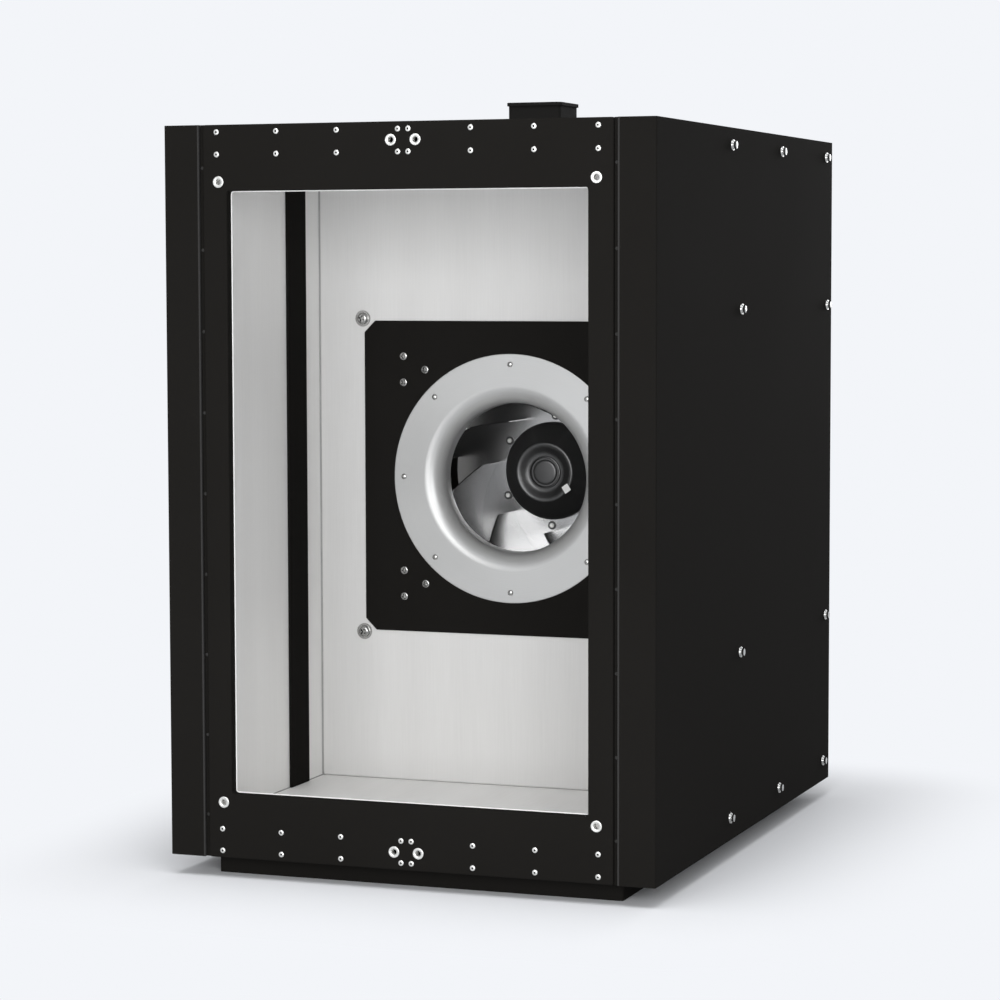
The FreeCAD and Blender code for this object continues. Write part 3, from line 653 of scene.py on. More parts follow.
def fasten(name, head, spots, material, stands_for=(), body="casing", seed=1):
    """Sets out one kind of head at spots, which hold (place, facing), as one plain mesh."""
    mesh = bpy.data.meshes.new(name)
    mesh.from_pydata([place for place, _ in spots], [], [])
    facing = mesh.attributes.new("facing", "FLOAT_VECTOR", "POINT")
    facing.data.foreach_set("vector", [value for _, direction in spots for value in direction])
    rows = bpy.data.objects.new(name, mesh)
    pattern = bpy.data.objects.new("pattern", head)
    for item in (rows, pattern):
        bpy.context.scene.collection.objects.link(item)
    setting_out = rows.modifiers.new("setting_out", "NODES")
    setting_out.node_group = fastener_rows
    keys = {item.name: item.identifier for item in fastener_rows.interface.items_tree
            if item.in_out == "INPUT"}
    for label, value in (("Head", pattern), ("Finish", material), ("Turn", math.tau),
                         ("Seed", seed)):
        setting_out[keys[label]] = value
    plain_mesh(rows)
    bpy.data.objects.remove(pattern)
    set_on_body(rows, body, stands_for)


def facing_spots(places, plane_y, way):
    """Spots at (across, up) places on an upright plane, facing along Y to the given way."""
    return [((x, plane_y, z), (0, way, 0)) for x, z in places]


zinc_plate = grained_finish("bright_zinc_plate", (0.55, 0.55, 0.53), (0.74, 0.74, 0.72),
                            gloss=(0.26, 0.40), grain=0.0006, constants={"Metallic": 0.85})

rivet_radius, rivet_rise, rivet_hole, dome_fullness = 0.0039, 0.0013, 0.0015, 0.7
dome = [(rivet_rise * math.cos(math.radians(angle)) ** dome_fullness,
         rivet_hole + (rivet_radius - rivet_hole) * math.sin(math.radians(angle)))
        for angle in (88, 75, 60, 45, 30, 15, 0)]
rivet = turned_head("rivet", [(0, rivet_hole), (0, rivet_radius), *dome], 20)
rivet_first, rivet_pitch, rivet_columns, rivet_rows = 0.0074, 0.0880, 4, (0.010, 0.040)

nut_flange_rise, nut_bore, nut_barrel, nut_chamfer = 0.0012, 0.0040, 0.0054, 0.0009
thread_pitch, thread_depth, nut_length, nut_sink = 0.00125, 0.0005, 0.011, 0.0044
thread, thread_start = [], 0.0004
for turn_number in range(int((nut_length + nut_flange_rise) / thread_pitch) - 1):
    start = nut_flange_rise - thread_start - turn_number * thread_pitch
    thread += [(start, nut_bore), (start - thread_pitch / 2, nut_bore + thread_depth)]
nut = turned_head("rivet_nut", [
    (-nut_length, nut_bore + thread_depth), (-nut_length, nut_barrel), (0, nut_barrel),
    (0, nut_flange), (nut_flange_rise * 0.55, nut_flange),
    (nut_flange_rise * 0.9, nut_flange - nut_chamfer / 3),
    (nut_flange_rise, nut_flange - nut_chamfer), (nut_flange_rise, nut_sink), *thread], 32, crease=50)

groove_rivet = turned_head("groove_rivet", [(0, 0), (0, 0.0024), (0.0004, 0.0023),
                                            (0.0008, 0.0016), (0.0009, 0)], 14)
groove_pitch, groove_reach = 0.1105, 4

rivet_places = []
for column in range(rivet_columns):
    across = rivet_first + rivet_pitch * column
    rivet_places += [(x, z) for x in (-across, across) for row in rivet_rows
                     for z in (frame_low.z + row, frame_high.z - row)]
groove_places = [(side * (frame_high.x - groove_width / 2),
                  (frame_low.z + frame_high.z) / 2 + groove_pitch * count)
                 for side in (-1, 1) for count in range(-groove_reach, groove_reach + 1)]
for end, (face_y, _, inward) in END_PLANES.items():
    fasten(end + "_rivets", rivet, facing_spots(rivet_places, face_y, -inward), zinc_plate)
    fasten(end + "_groove_rivets", groove_rivet,
           facing_spots(groove_places, face_y + inward * groove_depth, -inward),
           painted_highlight_and_rivet_coat)
    for node in (end + "_corner_nuts", end + "_centre_nuts"):
        fasten(node + "_threaded", nut, facing_spots(box_corners(node, nut_flange), face_y, -inward),
               zinc_plate, [node])


# Posts
# Flat strips of black coated steel in the inlet chamber, fixed over the linings where the upright
# joints of the side panels lie.
box_skin("left_post_cover", "left_post", edge=0.0006)
box_skin("right_post_cover", "right_post", edge=0.0006)


# Bulkhead
# A zinc coated sheet across the casing that parts the inlet chamber from the fan.  Its four edges
# are folded back and fixed to the linings, and a square window lies under the fan plate.
bulkhead_sheet, bulkhead_bend, bulkhead_corner = 0.002, 0.004, 0.005
bulkhead_window, bulkhead_window_corner = 0.200, 0.003
bulkhead_edges = (bulkhead_low.x, bulkhead_high.x, bulkhead_low.z, bulkhead_high.z, bulkhead_corner)
axis_z = (bulkhead_low.z + bulkhead_high.z) / 2
bulkhead = bmesh.new()
bulkhead_rings = bend_rings(bulkhead_low.y, bulkhead_high.y, bulkhead_edges, 1, bulkhead_bend, 6)
add_pressed_face(bulkhead, add_rings(bulkhead, bulkhead_rings), [], bulkhead_low.y,
                 [loop_points(-bulkhead_window, bulkhead_window, axis_z - bulkhead_window,
                              axis_z + bulkhead_window, bulkhead_window_corner, 3)])
zinc_bulkhead = rolled_finish("zinc_bulkhead", (0.58, 0.577, 0.570), (0.65, 0.647, 0.640),
                              gloss=(0.55, 0.70), stretch=upright,
                              constants={"Metallic": 0.0, "Specular IOR Level": 0.12})
finish_piece("bulkhead_pressing", facing_out(bulkhead, bulkhead_low.y, 1), zinc_bulkhead,
             ["bulkhead"], wall=bulkhead_sheet, crease=30)


# Fan plate
# A square black plate with cut corners on the face of the bulkhead.  It carries the inlet ring in
# front and the four feet of the motor carrier behind.
plate_low, plate_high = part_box("fan_plate")
plate_half = plate_high.x
plate_cut, plate_hole = 0.017, 0.138
short = plate_half - plate_cut
corners = [(-short, -plate_half), (short, -plate_half), (plate_half, -short), (plate_half, short),
           (short, plate_half), (-short, plate_half), (-plate_half, short), (-plate_half, -short)]
plate = bmesh.new()
add_plate(plate, "XZ", plate_low.y, plate_high.y, [[(x, axis_z + z) for x, z in corners],
                                                   circle_points(0, axis_z, plate_hole, 96)])
finish_piece("fan_plate_sheet", closed(plate), powder_coat, ["fan_plate"],
             edge=0.0004, crease=30)


# Inlet ring
# A spinning of galvanised sheet: a flat flange riveted to the fan plate that rolls in to the
# throat of the fan.  The spinning tool leaves fine rings round its axis.
def spun_rings():
    """Fine rings about the fan axis, as a lathe tool leaves them, and soft uneven patches."""
    group, given = new_effect("spun_rings", {
        "Axis height": ("NodeSocketFloat", 0.5), "Ring pitch": ("NodeSocketFloat", 0.0012)},
        {"Rings": "NodeSocketFloat", "Patches": "NodeSocketFloat"})
    spot = add(group, "ShaderNodeTexCoord").outputs["Object"]
    apart = add(group, "ShaderNodeSeparateXYZ", {0: spot})
    up = add(group, "ShaderNodeMath", {0: apart.outputs[2], 1: given["Axis height"]},
             operation="SUBTRACT")
    flat = add(group, "ShaderNodeCombineXYZ", {0: apart.outputs[0], 2: up.outputs[0]})
    radius = add(group, "ShaderNodeVectorMath", {0: flat.outputs[0]}, operation="LENGTH")
    reach = add(group, "ShaderNodeMath", {0: radius.outputs["Value"], 1: apart.outputs[1]},
                operation="ADD")
    count = add(group, "ShaderNodeMath", {0: reach.outputs[0], 1: given["Ring pitch"]},
                operation="DIVIDE")
    rings = add(group, "ShaderNodeTexNoise", {"W": count.outputs[0], "Scale": 1.0, "Detail": 3.0},
                noise_dimensions="1D")
    patches = add(group, "ShaderNodeTexNoise", {"Vector": spot, "Scale": 9.0, "Detail": 0.5})
    add(group, "NodeGroupOutput", {"Rings": rings.outputs[0], "Patches": patches.outputs[0]})
    return group


spun_group = spun_rings()


def spun_finish(name, dark, light, gloss, constants):
    """Sheet metal spun or turned about the fan axis."""
    material, tree, shader = new_finish(name, constants)
    effect = add(tree, "ShaderNodeGroup", {"Axis height": axis_z}, node_tree=spun_group)
    rings, patches = effect.outputs["Rings"], effect.outputs["Patches"]
    tone = blended_tone(tree, patches, rings, share=0.4)
    lay_finish(tree, shader, tone, dark, light, patches, gloss,
               {"Height": rings, "Distance": 0.00003, "Strength": 0.4})
    return material


# Puts what is turned about Z on the fan axis, so that along becomes the place along Y
to_fan_axis = Matrix.Translation((0, 0, axis_z)) @ Matrix.Rotation(-math.pi / 2, 4, "X")


def turned_piece(name, profile, material, stands_for, body="casing", steps=144):
    """A piece turned about the fan axis from an outline of (along, radius) points."""
    shape = bmesh.new()
    add_turned(shape, profile, steps)
    bmesh.ops.transform(shape, matrix=to_fan_axis, verts=shape.verts)
    finish_piece(name, closed(shape), material, stands_for, body)


galvanised_spinning = spun_finish("galvanised_spinning", (0.400, 0.402, 0.400),
                                  (0.445, 0.448, 0.445), gloss=(0.36, 0.40),
                                  constants={"Metallic": 0.45, "Specular IOR Level": 0.5})
ring_low, ring_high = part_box("inlet_ring")
ring_sheet, ring_bend, ring_throat, flat_from, flat_to = 0.0015, 0.026, 0.1095, 0.0015, 0.0010
half_sheet = ring_sheet / 2
bend_along, bend_radius = ring_low.y + ring_bend, ring_throat + ring_bend
turned_piece("inlet_ring_spinning", [
    *arc_points(ring_low.y + half_sheet, ring_high.x - half_sheet, half_sheet, 0, 180, 6),
    (ring_low.y, ring_high.x - flat_from), (ring_low.y, bend_radius + flat_to),
    *arc_points(bend_along, bend_radius, ring_bend, 180, 270, 24),
    *arc_points(ring_high.y - half_sheet, ring_throat + half_sheet, half_sheet, -90, 90, 6),
    *arc_points(bend_along, bend_radius, ring_bend - ring_sheet, 270, 180, 24)],
    galvanised_spinning, ["inlet_ring"], steps=192)


# Impeller
# Aluminium sheet: a spun shroud and a back plate with seven backward curved blades riveted
# between them.  It turns with the rotor, clockwise as seen from the inlet.
aluminium = spun_finish("impeller_sheet", (0.32, 0.32, 0.32), (0.44, 0.44, 0.44),
                        gloss=(0.14, 0.24), constants={"Metallic": 1.0})
shroud_low, shroud_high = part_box("impeller_shroud")
wheel_radius = shroud_high.x
shroud_inlet, shroud_lip, shroud_bend, shroud_sheet = 0.114, 0.012, 0.040, 0.0015
shroud_angle = 60
shroud_turn = shroud_low.y + shroud_lip
slope = 1 / math.tan(math.radians(shroud_angle))


def shroud_side(offset):
    """The shroud's inner curve moved out by an offset, from its lip to its rim."""
    bend = arc_points(shroud_turn, shroud_inlet + shroud_bend, shroud_bend - offset, 270,
                      270 + shroud_angle, 14)
    rim = (bend[-1][0] + (wheel_radius - bend[-1][1]) * slope, wheel_radius)
    return [(shroud_low.y, shroud_inlet + offset), *bend, rim]


turned_piece("shroud_spinning", shroud_side(0) + shroud_side(shroud_sheet)[::-1], aluminium,
             ["impeller_shroud"], "impeller")

disc_low, disc_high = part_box("impeller_back_plate")
disc_hole, disc_chamfer = 0.074, 0.0005
turned_piece("back_plate_disc", [
    (disc_low.y, disc_hole), (disc_low.y, wheel_radius - disc_chamfer),
    (disc_low.y + disc_chamfer, wheel_radius), (disc_high.y, wheel_radius), (disc_high.y, disc_hole)],
    aluminium, ["impeller_back_plate"], "impeller")

blade_count, blade_first, blade_sheet = 7, 118, 0.0018
blade_root, blade_wrap, blade_arc = 0.088, 55.3, 0.140
blade_edge, blade_knee, blade_lead = 0.091, 0.073, 0.110
blade_steps, blade_rows = 26, 12


def on_circle(angle, radius):
    """A point seen along the fan axis, from an angle in radians."""
    return Vector((math.cos(angle), math.sin(angle))) * radius


# A blade is an arc from its root to its tip on the rim, cut back to where its leading edge starts
tip, root = on_circle(math.radians(blade_wrap), wheel_radius), Vector((blade_root, 0))
chord = tip - root
across_chord = Vector((-chord.y, chord.x)).normalized()
arc_centre = (root + tip) / 2 + across_chord * math.sqrt(blade_arc ** 2 - chord.length_squared / 4)
root_angle = math.atan2(*(root - arc_centre).yx)
tip_angle = math.atan2(*(tip - arc_centre).yx)
angle_step = math.radians(0.02)
while (arc_centre + on_circle(root_angle, blade_arc)).length < blade_edge:
    root_angle += angle_step


def blade_front(radius):
    """How far forward a blade reaches at a radius: its slanted leading edge, then the shroud."""
    if radius < blade_lead:
        share = (radius - blade_edge) / (blade_lead - blade_edge)
        knee = disc_low.y - blade_knee
        return knee + (shroud_turn - knee) * share
    if radius < shroud_inlet:
        return shroud_turn
    centre = shroud_inlet + shroud_bend
    bend_end = centre - shroud_bend * math.cos(math.radians(shroud_angle))
    if radius < bend_end:
        return shroud_turn + math.sqrt(shroud_bend ** 2 - (centre - radius) ** 2)
    return (shroud_turn + shroud_bend * math.sin(math.radians(shroud_angle))
            + (radius - bend_end) * slope)


for number in range(blade_count):
    start = math.radians(blade_first + 360 * number / blade_count)
    blade = bmesh.new()
    columns = []
    for step in range(blade_steps + 1):
        angle = root_angle + (tip_angle - root_angle) * step / blade_steps
        point = arc_centre + on_circle(angle, blade_arc)
        reach = blade_front(point.length) - disc_low.y
        place = Matrix.Rotation(start, 2) @ point
        columns.append([blade.verts.new((place.x, disc_low.y + reach * row / blade_rows,
                                         axis_z + place.y)) for row in range(blade_rows + 1)])
    for near, far in zip(columns, columns[1:]):
        for row in range(blade_rows):
            blade.faces.new((near[row], far[row], far[row + 1], near[row + 1]))
    finish_piece(f"blade_{number + 1}_sheet", blade, aluminium,
                 [f"blade_{number + 1}"], "impeller", wall=blade_sheet, edge=0.0003, crease=50)


# Rotor
# The black cast bell of an external rotor motor.  It has a bowl in its face, with a raised cap
# over the shaft bore, and a flange behind that carries the back plate of the impeller.
rotor_low, rotor_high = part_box("rotor")
cap_low, cap_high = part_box("rotor_cap")
rotor_black = coated_finish("rotor_black", (0.014, 0.014, 0.014), (0.022, 0.022, 0.022),
                            gloss=(0.30, 0.40), peel_size=0.004, peel_depth=0.00006,
                            constants={"Specular IOR Level": 0.5, "Coat Weight": 0.35,
                                       "Coat Roughness": 0.2})
bell_radius, bell_shoulder, bell_waist, bell_end = 0.074, 0.034, 0.0597, 0.005
face_radius, bowl_rim, bowl_lip, bowl_steps = 0.045, 0.0265, 0.0020, 12
flange_radius, flange_sheet, flange_edge = rotor_high.x, 0.003, 0.0006
bowl = []
for step in range(bowl_steps + 1):
    share = step / bowl_steps
    bowl.append((cap_high.y + (rotor_low.y - cap_high.y) * (1 - math.cos(math.pi * share)) / 2,
                 bowl_rim + (face_radius - bowl_lip - bowl_rim) * share))
bell = [(rotor_low.y + depth, radius) for depth, radius in (
    (0.0006, face_radius + 0.0004), (0.0022, face_radius + 0.0018), (bell_shoulder * 0.5, bell_waist),
    (bell_shoulder - 0.0060, bell_radius - 0.0048), (bell_shoulder - 0.0030, bell_radius - 0.0024),
    (bell_shoulder, bell_radius - 0.0007), (bell_shoulder + 0.0030, bell_radius))]
flange = [(disc_high.y + depth, radius) for depth, radius in (
    (0, bell_radius), (0, flange_radius - flange_edge), (flange_edge, flange_radius),
    (flange_sheet, flange_radius), (flange_sheet, bell_radius))]
back = rotor_high.y - bell_end
turned_piece("rotor_bell", [(cap_high.y, 0), *bowl, *bell, *flange, (back, bell_radius), (back, 0)],
             rotor_black, ["rotor"], "impeller")
cap = [(cap_low.y + depth, radius) for depth, radius in (
    (0.0002, 0), (0, 0.0150), (0.0003, 0.0178), (0.0010, 0.0186), (0.0022, 0.0190), (0.0022, 0.0214),
    (0.0006, 0.0220), (0, 0.0228), (0.0002, 0.0238), (0.0010, 0.0244))]
turned_piece("rotor_cap_disc", [*cap, (cap_high.y, 0.0245), (cap_high.y, 0)],
             rotor_black, ["rotor_cap"], "impeller", steps=72)


# Motor housing
# The still half of the motor behind the impeller, cast in aluminium: a flange that is screwed to
# the carrier and a plain round housing with a sunk cover.
housing_low, housing_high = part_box("motor_housing")
casting = grained_finish("housing_casting", (0.34, 0.34, 0.35), (0.46, 0.46, 0.47),
                         gloss=(0.42, 0.60), grain=0.0012, constants={"Metallic": 0.8})
housing_flange, housing_radius, housing_corner = housing_high.x, 0.084, 0.008
housing_sheet, housing_chamfer = 0.008, 0.001
cover_radius, cover_depth, cover_slope = 0.052, 0.003, 0.002
corner_along, corner_radius = housing_high.y - housing_corner, housing_radius - housing_corner
housing_step, cover_y = housing_low.y + housing_sheet, housing_high.y - cover_depth
turned_piece("motor_housing_casting", [
    (housing_low.y, 0), (housing_low.y, housing_flange - housing_chamfer),
    (housing_low.y + housing_chamfer, housing_flange), (housing_step, housing_flange),
    (housing_step, housing_radius), *arc_points(corner_along, corner_radius, housing_corner, 90, 0, 8),
    (housing_high.y, cover_radius), (cover_y, cover_radius - cover_slope), (cover_y, 0)],
    casting, ["motor_housing"])


# Label
# A small blank sticker of white paper on the rim of the rotor's bowl.  It is stuck on by hand once
# the wheel is balanced, so it sits a little askew.
label_paper = grained_finish("label_paper", (0.80, 0.80, 0.79), (0.88, 0.88, 0.87),
                             gloss=(0.45, 0.60), grain=0.0008, constants={"Specular IOR Level": 0.3})
label_width, label_height, label_rise, label_corner = 0.0115, 0.0110, 0.0003, 0.0008
label_turn = 35
label_place = Vector((0.0356, rotor_low.y - 0.0006, axis_z - 0.0235))
label_facing = Vector((-0.10, -1, 0.06))
label = bmesh.new()
add_plate(label, "XY", 0, label_rise, [
    loop_points(-label_width / 2, label_width / 2, -label_height / 2, label_height / 2, label_corner, 3)])
lean = label_facing.to_track_quat("Z", "X").to_matrix().to_4x4()
bmesh.ops.transform(label, matrix=Matrix.Translation(label_place) @ lean
                    @ Matrix.Rotation(math.radians(label_turn), 4, "Z"), verts=label.verts)
finish_piece("balance_label", closed(label), label_paper, body="impeller")


# Motor carrier and struts
# A flat galvanised ring with four arms holds the motor.  Four round struts with welded feet tie it
# to the fan plate, and each arm runs past its strut and ends in round corners.
galvanised_steel = rolled_finish("galvanised_sheet", (0.46, 0.46, 0.465), (0.60, 0.60, 0.605),
                                 gloss=(0.36, 0.50), stretch=(1, 1, 0.2), constants={"Metallic": 0.7})
strut_centres = []
for name in ("upper_right_strut", "upper_left_strut", "lower_left_strut", "lower_right_strut"):
    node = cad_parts[name]
    node.data.materials.clear()
    node.data.materials.append(galvanised_steel)
    foot_low, foot_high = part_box(name)
    strut_centres.append(((foot_low.x + foot_high.x) / 2, (foot_low.z + foot_high.z) / 2))

carrier_low, carrier_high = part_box("motor_carrier")
carrier_hole, carrier_rim, rim_steps = 0.085, 0.119, 14
arm_half, arm_past_strut, arm_corner = 0.0311, 0.014, 0.010
arm_spread = math.degrees(math.asin(arm_half / carrier_rim))
arm_angles = [math.degrees(math.atan2(z - axis_z, x)) for x, z in strut_centres]
carrier_edge = []
for number, (x, z) in enumerate(strut_centres):
    reach = math.hypot(x, z - axis_z)
    arm_end, cos, sin = reach + arm_past_strut, x / reach, (z - axis_z) / reach
    side = [(math.sqrt(carrier_rim ** 2 - arm_half ** 2), -arm_half)]
    side += arc_points(arm_end - arm_corner, arm_corner - arm_half, arm_corner, -90, 0, 6)
    side += [(along, -across) for along, across in side[::-1]]
    carrier_edge += [(along * cos - across * sin, axis_z + along * sin + across * cos)
                     for along, across in side]
    start = arm_angles[number] + arm_spread
    gap = (arm_angles[(number + 1) % 4] - arm_spread - start) % 360
    carrier_edge += arc_points(0, axis_z, carrier_rim, start, start + gap, rim_steps)[1:-1]
carrier = bmesh.new()
add_plate(carrier, "XZ", carrier_low.y, carrier_high.y,
          [carrier_edge, circle_points(0, axis_z, carrier_hole, 96)])
finish_piece("motor_carrier_plate", closed(carrier), galvanised_steel,
             ["motor_carrier"], edge=0.0005, crease=30)


# Terminal box
# A moulded plastic box on the roof over the motor, where its cable ends.  The lid overhangs the
# box and four screws in its corners hold it.
moulding = coated_finish("black_moulding", (0.012, 0.0115, 0.011), (0.018, 0.0175, 0.017),
                         gloss=(0.66, 0.78), peel_size=0.0006, peel_depth=0.00005,
                         constants={"Specular IOR Level": 0.02})
box_low, box_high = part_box("terminal_box")
lid_low, lid_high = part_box("terminal_box_lid")
box_corner, lid_corner, box_wall = 0.006, 0.008, 0.003
box_edges = (box_low.x, box_high.x, box_low.y, box_high.y, box_corner)
box = bmesh.new()
add_plate(box, "XY", box_low.z, box_high.z,
          [loop_points(*box_edges, 5), loop_points(*box_edges, 5, inset=box_wall)])
add_plate(box, "XY", box_low.z, box_low.z + box_wall, [loop_points(*box_edges, 5, inset=box_wall)])
bmesh.ops.recalc_face_normals(box, faces=box.faces)
finish_piece("terminal_box_moulding", box, moulding, ["terminal_box"], edge=0.0006)
lid = bmesh.new()
add_plate(lid, "XY", lid_low.z, lid_high.z, [
    loop_points(lid_low.x, lid_high.x, lid_low.y, lid_high.y, lid_corner, 6)])
finish_piece("terminal_box_cover", closed(lid), moulding, ["terminal_box_lid"],
             edge=0.0012, edge_steps=3)


# Plate screws and foot nuts
# Bright steel button head screws with a cross recess go through the fan plate, three to each foot
# of the struts, and zinc plated hexagon nuts on washers hold them behind.
def cross_points(reach, half_width):
    """The outline of a cross recess, anticlockwise."""
    points = []
    for quarter in range(4):
        cos, sin = math.cos(math.pi / 2 * quarter), math.sin(math.pi / 2 * quarter)
        for across, up in ((reach, -half_width), (reach, half_width), (half_width, half_width)):
            points.append((across * cos - up * sin, across * sin + up * cos))
    return points


def recessed_head(name, profile, recess, depth, steps):
    """A turned head with a flat top that ends its outline, and a recess sunk into that flat."""
    shape = bmesh.new()
    rim = add_turned(shape, profile, steps)[-1]
    top, narrowing = profile[-1][0], 0.6
    mouth = [shape.verts.new((x, y, top)) for x, y in recess]
    bottom = [shape.verts.new((x * narrowing, y * narrowing, top - depth)) for x, y in recess]
    edges = [shape.edges.new((mouth[number - 1], mouth[number])) for number in range(len(mouth))]
    edges += [shape.edges.get((rim[number - 1], rim[number])) for number in range(steps)]
    bmesh.ops.triangle_fill(shape, use_beauty=True, edges=edges)
    join_loops(shape, mouth, bottom)
    shape.faces.new(bottom)
    return head_mesh(name, shape)


def button_profile(radius, rise, flat, start=0):
    """A button head from the axis out under it and over its dome to the rim of its flat top."""
    profile = [(start, 0), (start, radius)]
    steps, side_share, fullness = 6, 0.18, 2.2
    for step in range(steps + 1):
        inward = step / steps
        height = side_share + (1 - side_share) * math.sqrt(1 - (1 - inward) ** fullness)
        profile.append((start + rise * height, radius + (flat - radius) * inward))
    return profile


def hexagon_head(name, discs, start, height, radius, chamfer):
    """Turned discs, each an outline and its number of steps, and a hexagon with its corners off."""
    shape = bmesh.new()
    for outline, steps in discs:
        add_turned(shape, outline, steps)
    rows, chamfer_height = [], chamfer * 0.4
    for along, size in ((start, radius), (start + height - chamfer_height, radius),
                        (start + height, radius - chamfer)):
        rows.append([shape.verts.new((x, y, along)) for x, y in circle_points(0, 0, size, 6)])
    for near, far in zip(rows, rows[1:]):
        join_loops(shape, near, far)
    shape.faces.new(rows[0])
    shape.faces.new(rows[-1])
    return head_mesh(name, shape)


bright_steel = grained_finish("bright_steel", (0.36, 0.36, 0.35), (0.50, 0.50, 0.49),
                              gloss=(0.12, 0.22), grain=0.0006, constants={"Metallic": 1.0})
button_screw = recessed_head("button_screw", button_profile(radius=0.0063, rise=0.0030, flat=0.0042),
                             cross_points(reach=0.0038, half_width=0.0011), depth=0.0024, steps=28)
foot_screws = ((0.167, 0.1775), (0.167, 0.139), (0.133, 0.158))
screw_places = [(across, axis_z + up) for x, z in foot_screws for across in (-x, x) for up in (-z, z)]
fasten("plate_screws", button_screw, facing_spots(screw_places, plate_low.y, -1), bright_steel)
foot_washer = [(0, 0), (0, 0.0062), (0.0010, 0.0062), (0.0010, 0)]
screw_end = [(0.0010, 0), (0.0010, 0.0030), (0.0080, 0.0030), (0.0084, 0.0026), (0.0084, 0)]
hexagon_nut = hexagon_head("hexagon_nut", [(foot_washer, 28), (screw_end, 18)],
                           start=0.0010, height=0.0050, radius=0.0058, chamfer=0.0006)
foot_sheet = 0.003
foot_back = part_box("upper_left_strut")[0].y + foot_sheet
fasten("foot_nuts", hexagon_nut, facing_spots(screw_places, foot_back, 1), zinc_plate)


# Corner bolts
# Four wide steel bolts on plain washers go through the bulkhead just outside the cut corners of
# the fan plate.  Their heads are domed, with a cross recess.
washer_radius, washer_rise, washer_chamfer = 0.0118, 0.0018, 0.0004
bolt_washer = turned_head("bolt_washer", [
    (0, 0), (0, washer_radius - washer_chamfer), (washer_chamfer, washer_radius),
    (washer_rise - washer_chamfer, washer_radius), (washer_rise, washer_radius - washer_chamfer),
    (washer_rise, 0)], 36)
bolt_dome = button_profile(radius=0.0088, rise=0.0052, flat=0.0052, start=washer_rise)
washer_bolt = recessed_head("washer_bolt", bolt_dome, cross_points(reach=0.0048, half_width=0.0013),
                            depth=0.0036, steps=32)
bolt_reach = 0.2325
corner_spots = facing_spots([(x, axis_z + z) for x in (-bolt_reach, bolt_reach)
                             for z in (-bolt_reach, bolt_reach)], bulkhead_low.y, -1)
fasten("corner_washers", bolt_washer, corner_spots, bright_steel, seed=2)
fasten("corner_bolts", washer_bolt, corner_spots, bright_steel, seed=3)


# Panel screws
# Ten bright steel hexagon screws with flanges and sealing washers hold each side panel: three
# along its top edge, three along its bottom edge and four between them.
sealing_washer = [(0, 0), (0, 0.0080), (0.0010, 0.0080), (0.0020, 0.0074), (0.0020, 0)]
screw_flange = [(0.0020, 0), (0.0020, 0.0064), (0.0027, 0.0062), (0.0031, 0.0056), (0.0031, 0)]
panel_screw = hexagon_head("panel_screw", [(sealing_washer, 32), (screw_flange, 28)],
                           start=0.0031, height=0.0033, radius=0.0056, chamfer=0.0006)
panel_washer, panel_pitch, middle_column, middle_levels = 0.008, 0.2645, -0.059, (0.290, 0.776)
for side, sign in (("left", -1), ("right", 1)):
    low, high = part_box(side + "_panel_screws")
    face_x = high.x if sign < 0 else low.x
    places = [(low.y + panel_washer + panel_pitch * step, z) for step in range(3)
              for z in (low.z + panel_washer, high.z - panel_washer)]
    places += [(y, z) for y in (middle_column, high.y - panel_washer) for z in middle_levels]
    fasten(side + "_panel_screw_heads", panel_screw,
           [((face_x, y, z), (sign, 0, 0)) for y, z in places],
           bright_steel, [side + "_panel_screws"], seed=4)


# Inlet ring rivets
# Eight small blind rivets of bright steel, evenly spaced, fix the flange of the inlet ring to the
# fan plate.
ring_rivet = turned_head("ring_rivet", [(0, 0.0010), (0, 0.0042), (0.0007, 0.0041), (0.0015, 0.0033),
                                        (0.0020, 0.0022), (0.0021, 0.0010)], 20)
ring_rivet_circle, ring_rivet_count = 0.1668, 8
fasten("inlet_ring_rivets", ring_rivet,
       facing_spots(circle_points(0, axis_z, ring_rivet_circle, ring_rivet_count), ring_low.y, -1),
       bright_steel)


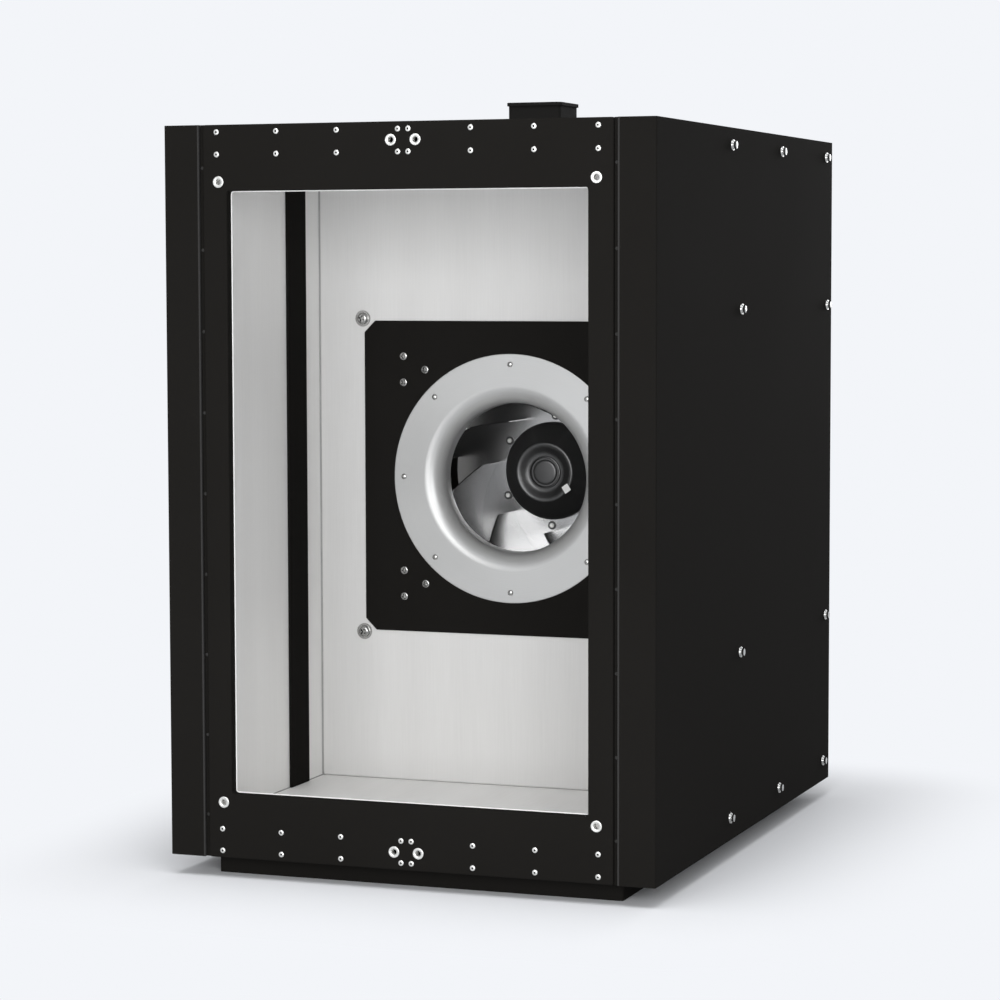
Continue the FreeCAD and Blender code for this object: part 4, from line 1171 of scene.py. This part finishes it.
# Carrier screws
# Hexagon screws with washers on the back of the carrier: one into the end of each strut, and eight
# round the flange of the motor housing.
carrier_washer = [(0, 0), (0, 0.0064), (0.0012, 0.0064), (0.0016, 0.0060), (0.0016, 0)]
motor_screw = hexagon_head("motor_screw", [(carrier_washer, 28)],
                           start=0.0016, height=0.0040, radius=0.0052, chamfer=0.0005)
flange_screw_circle, flange_screw_count = 0.0935, 8
flange_places = circle_points(0, axis_z, flange_screw_circle, flange_screw_count)
fasten("carrier_screws", motor_screw, facing_spots(strut_centres + flange_places, carrier_high.y, 1),
       bright_steel, seed=6)


# Wheel screws
# Six zinc plated socket screws on black washers hold the back plate of the wheel to the flange of
# the rotor, and turn with it.
washer_section = [(0, 0.0030), (0, 0.0065), (0.0010, 0.0065), (0.0010, 0.0030)]
lock_washer = turned_head("lock_washer", washer_section, 28)
socket_head, socket_radius = [(0, 0), (0, 0.0034), (0.0028, 0.0034), (0.0032, 0.0030)], 0.0016
wheel_screw = recessed_head("wheel_screw", socket_head, circle_points(0, 0, socket_radius, 6),
                            depth=0.0018, steps=24)
wheel_screw_circle, wheel_screw_count, wheel_screw_first = 0.0835, 6, 88
wheel_spots = facing_spots(circle_points(0, axis_z, wheel_screw_circle, wheel_screw_count,
                                         wheel_screw_first), disc_low.y, -1)
fasten("wheel_washers", lock_washer, wheel_spots, rotor_black, body="impeller")
fasten("wheel_screws", wheel_screw, wheel_spots, zinc_plate, body="impeller", seed=5)


# Lid screws
# Four small cross recessed screws, zinc plated and sunk nearly flush, hold down the corners of the
# terminal box's lid.
sunk_head = [(-0.0004, 0), (-0.0004, 0.0030), (-0.0001, 0.0030), (-0.0001, 0.0026)]
lid_screw = recessed_head("lid_screw", sunk_head, cross_points(reach=0.0020, half_width=0.0005),
                          depth=0.0009, steps=20)
lid_inset = 0.008
fasten("lid_screws", lid_screw, [((x, y, lid_high.z), (0, 0, 1))
                                 for x in (lid_low.x + lid_inset, lid_high.x - lid_inset)
                                 for y in (lid_low.y + lid_inset, lid_high.y - lid_inset)],
       zinc_plate)
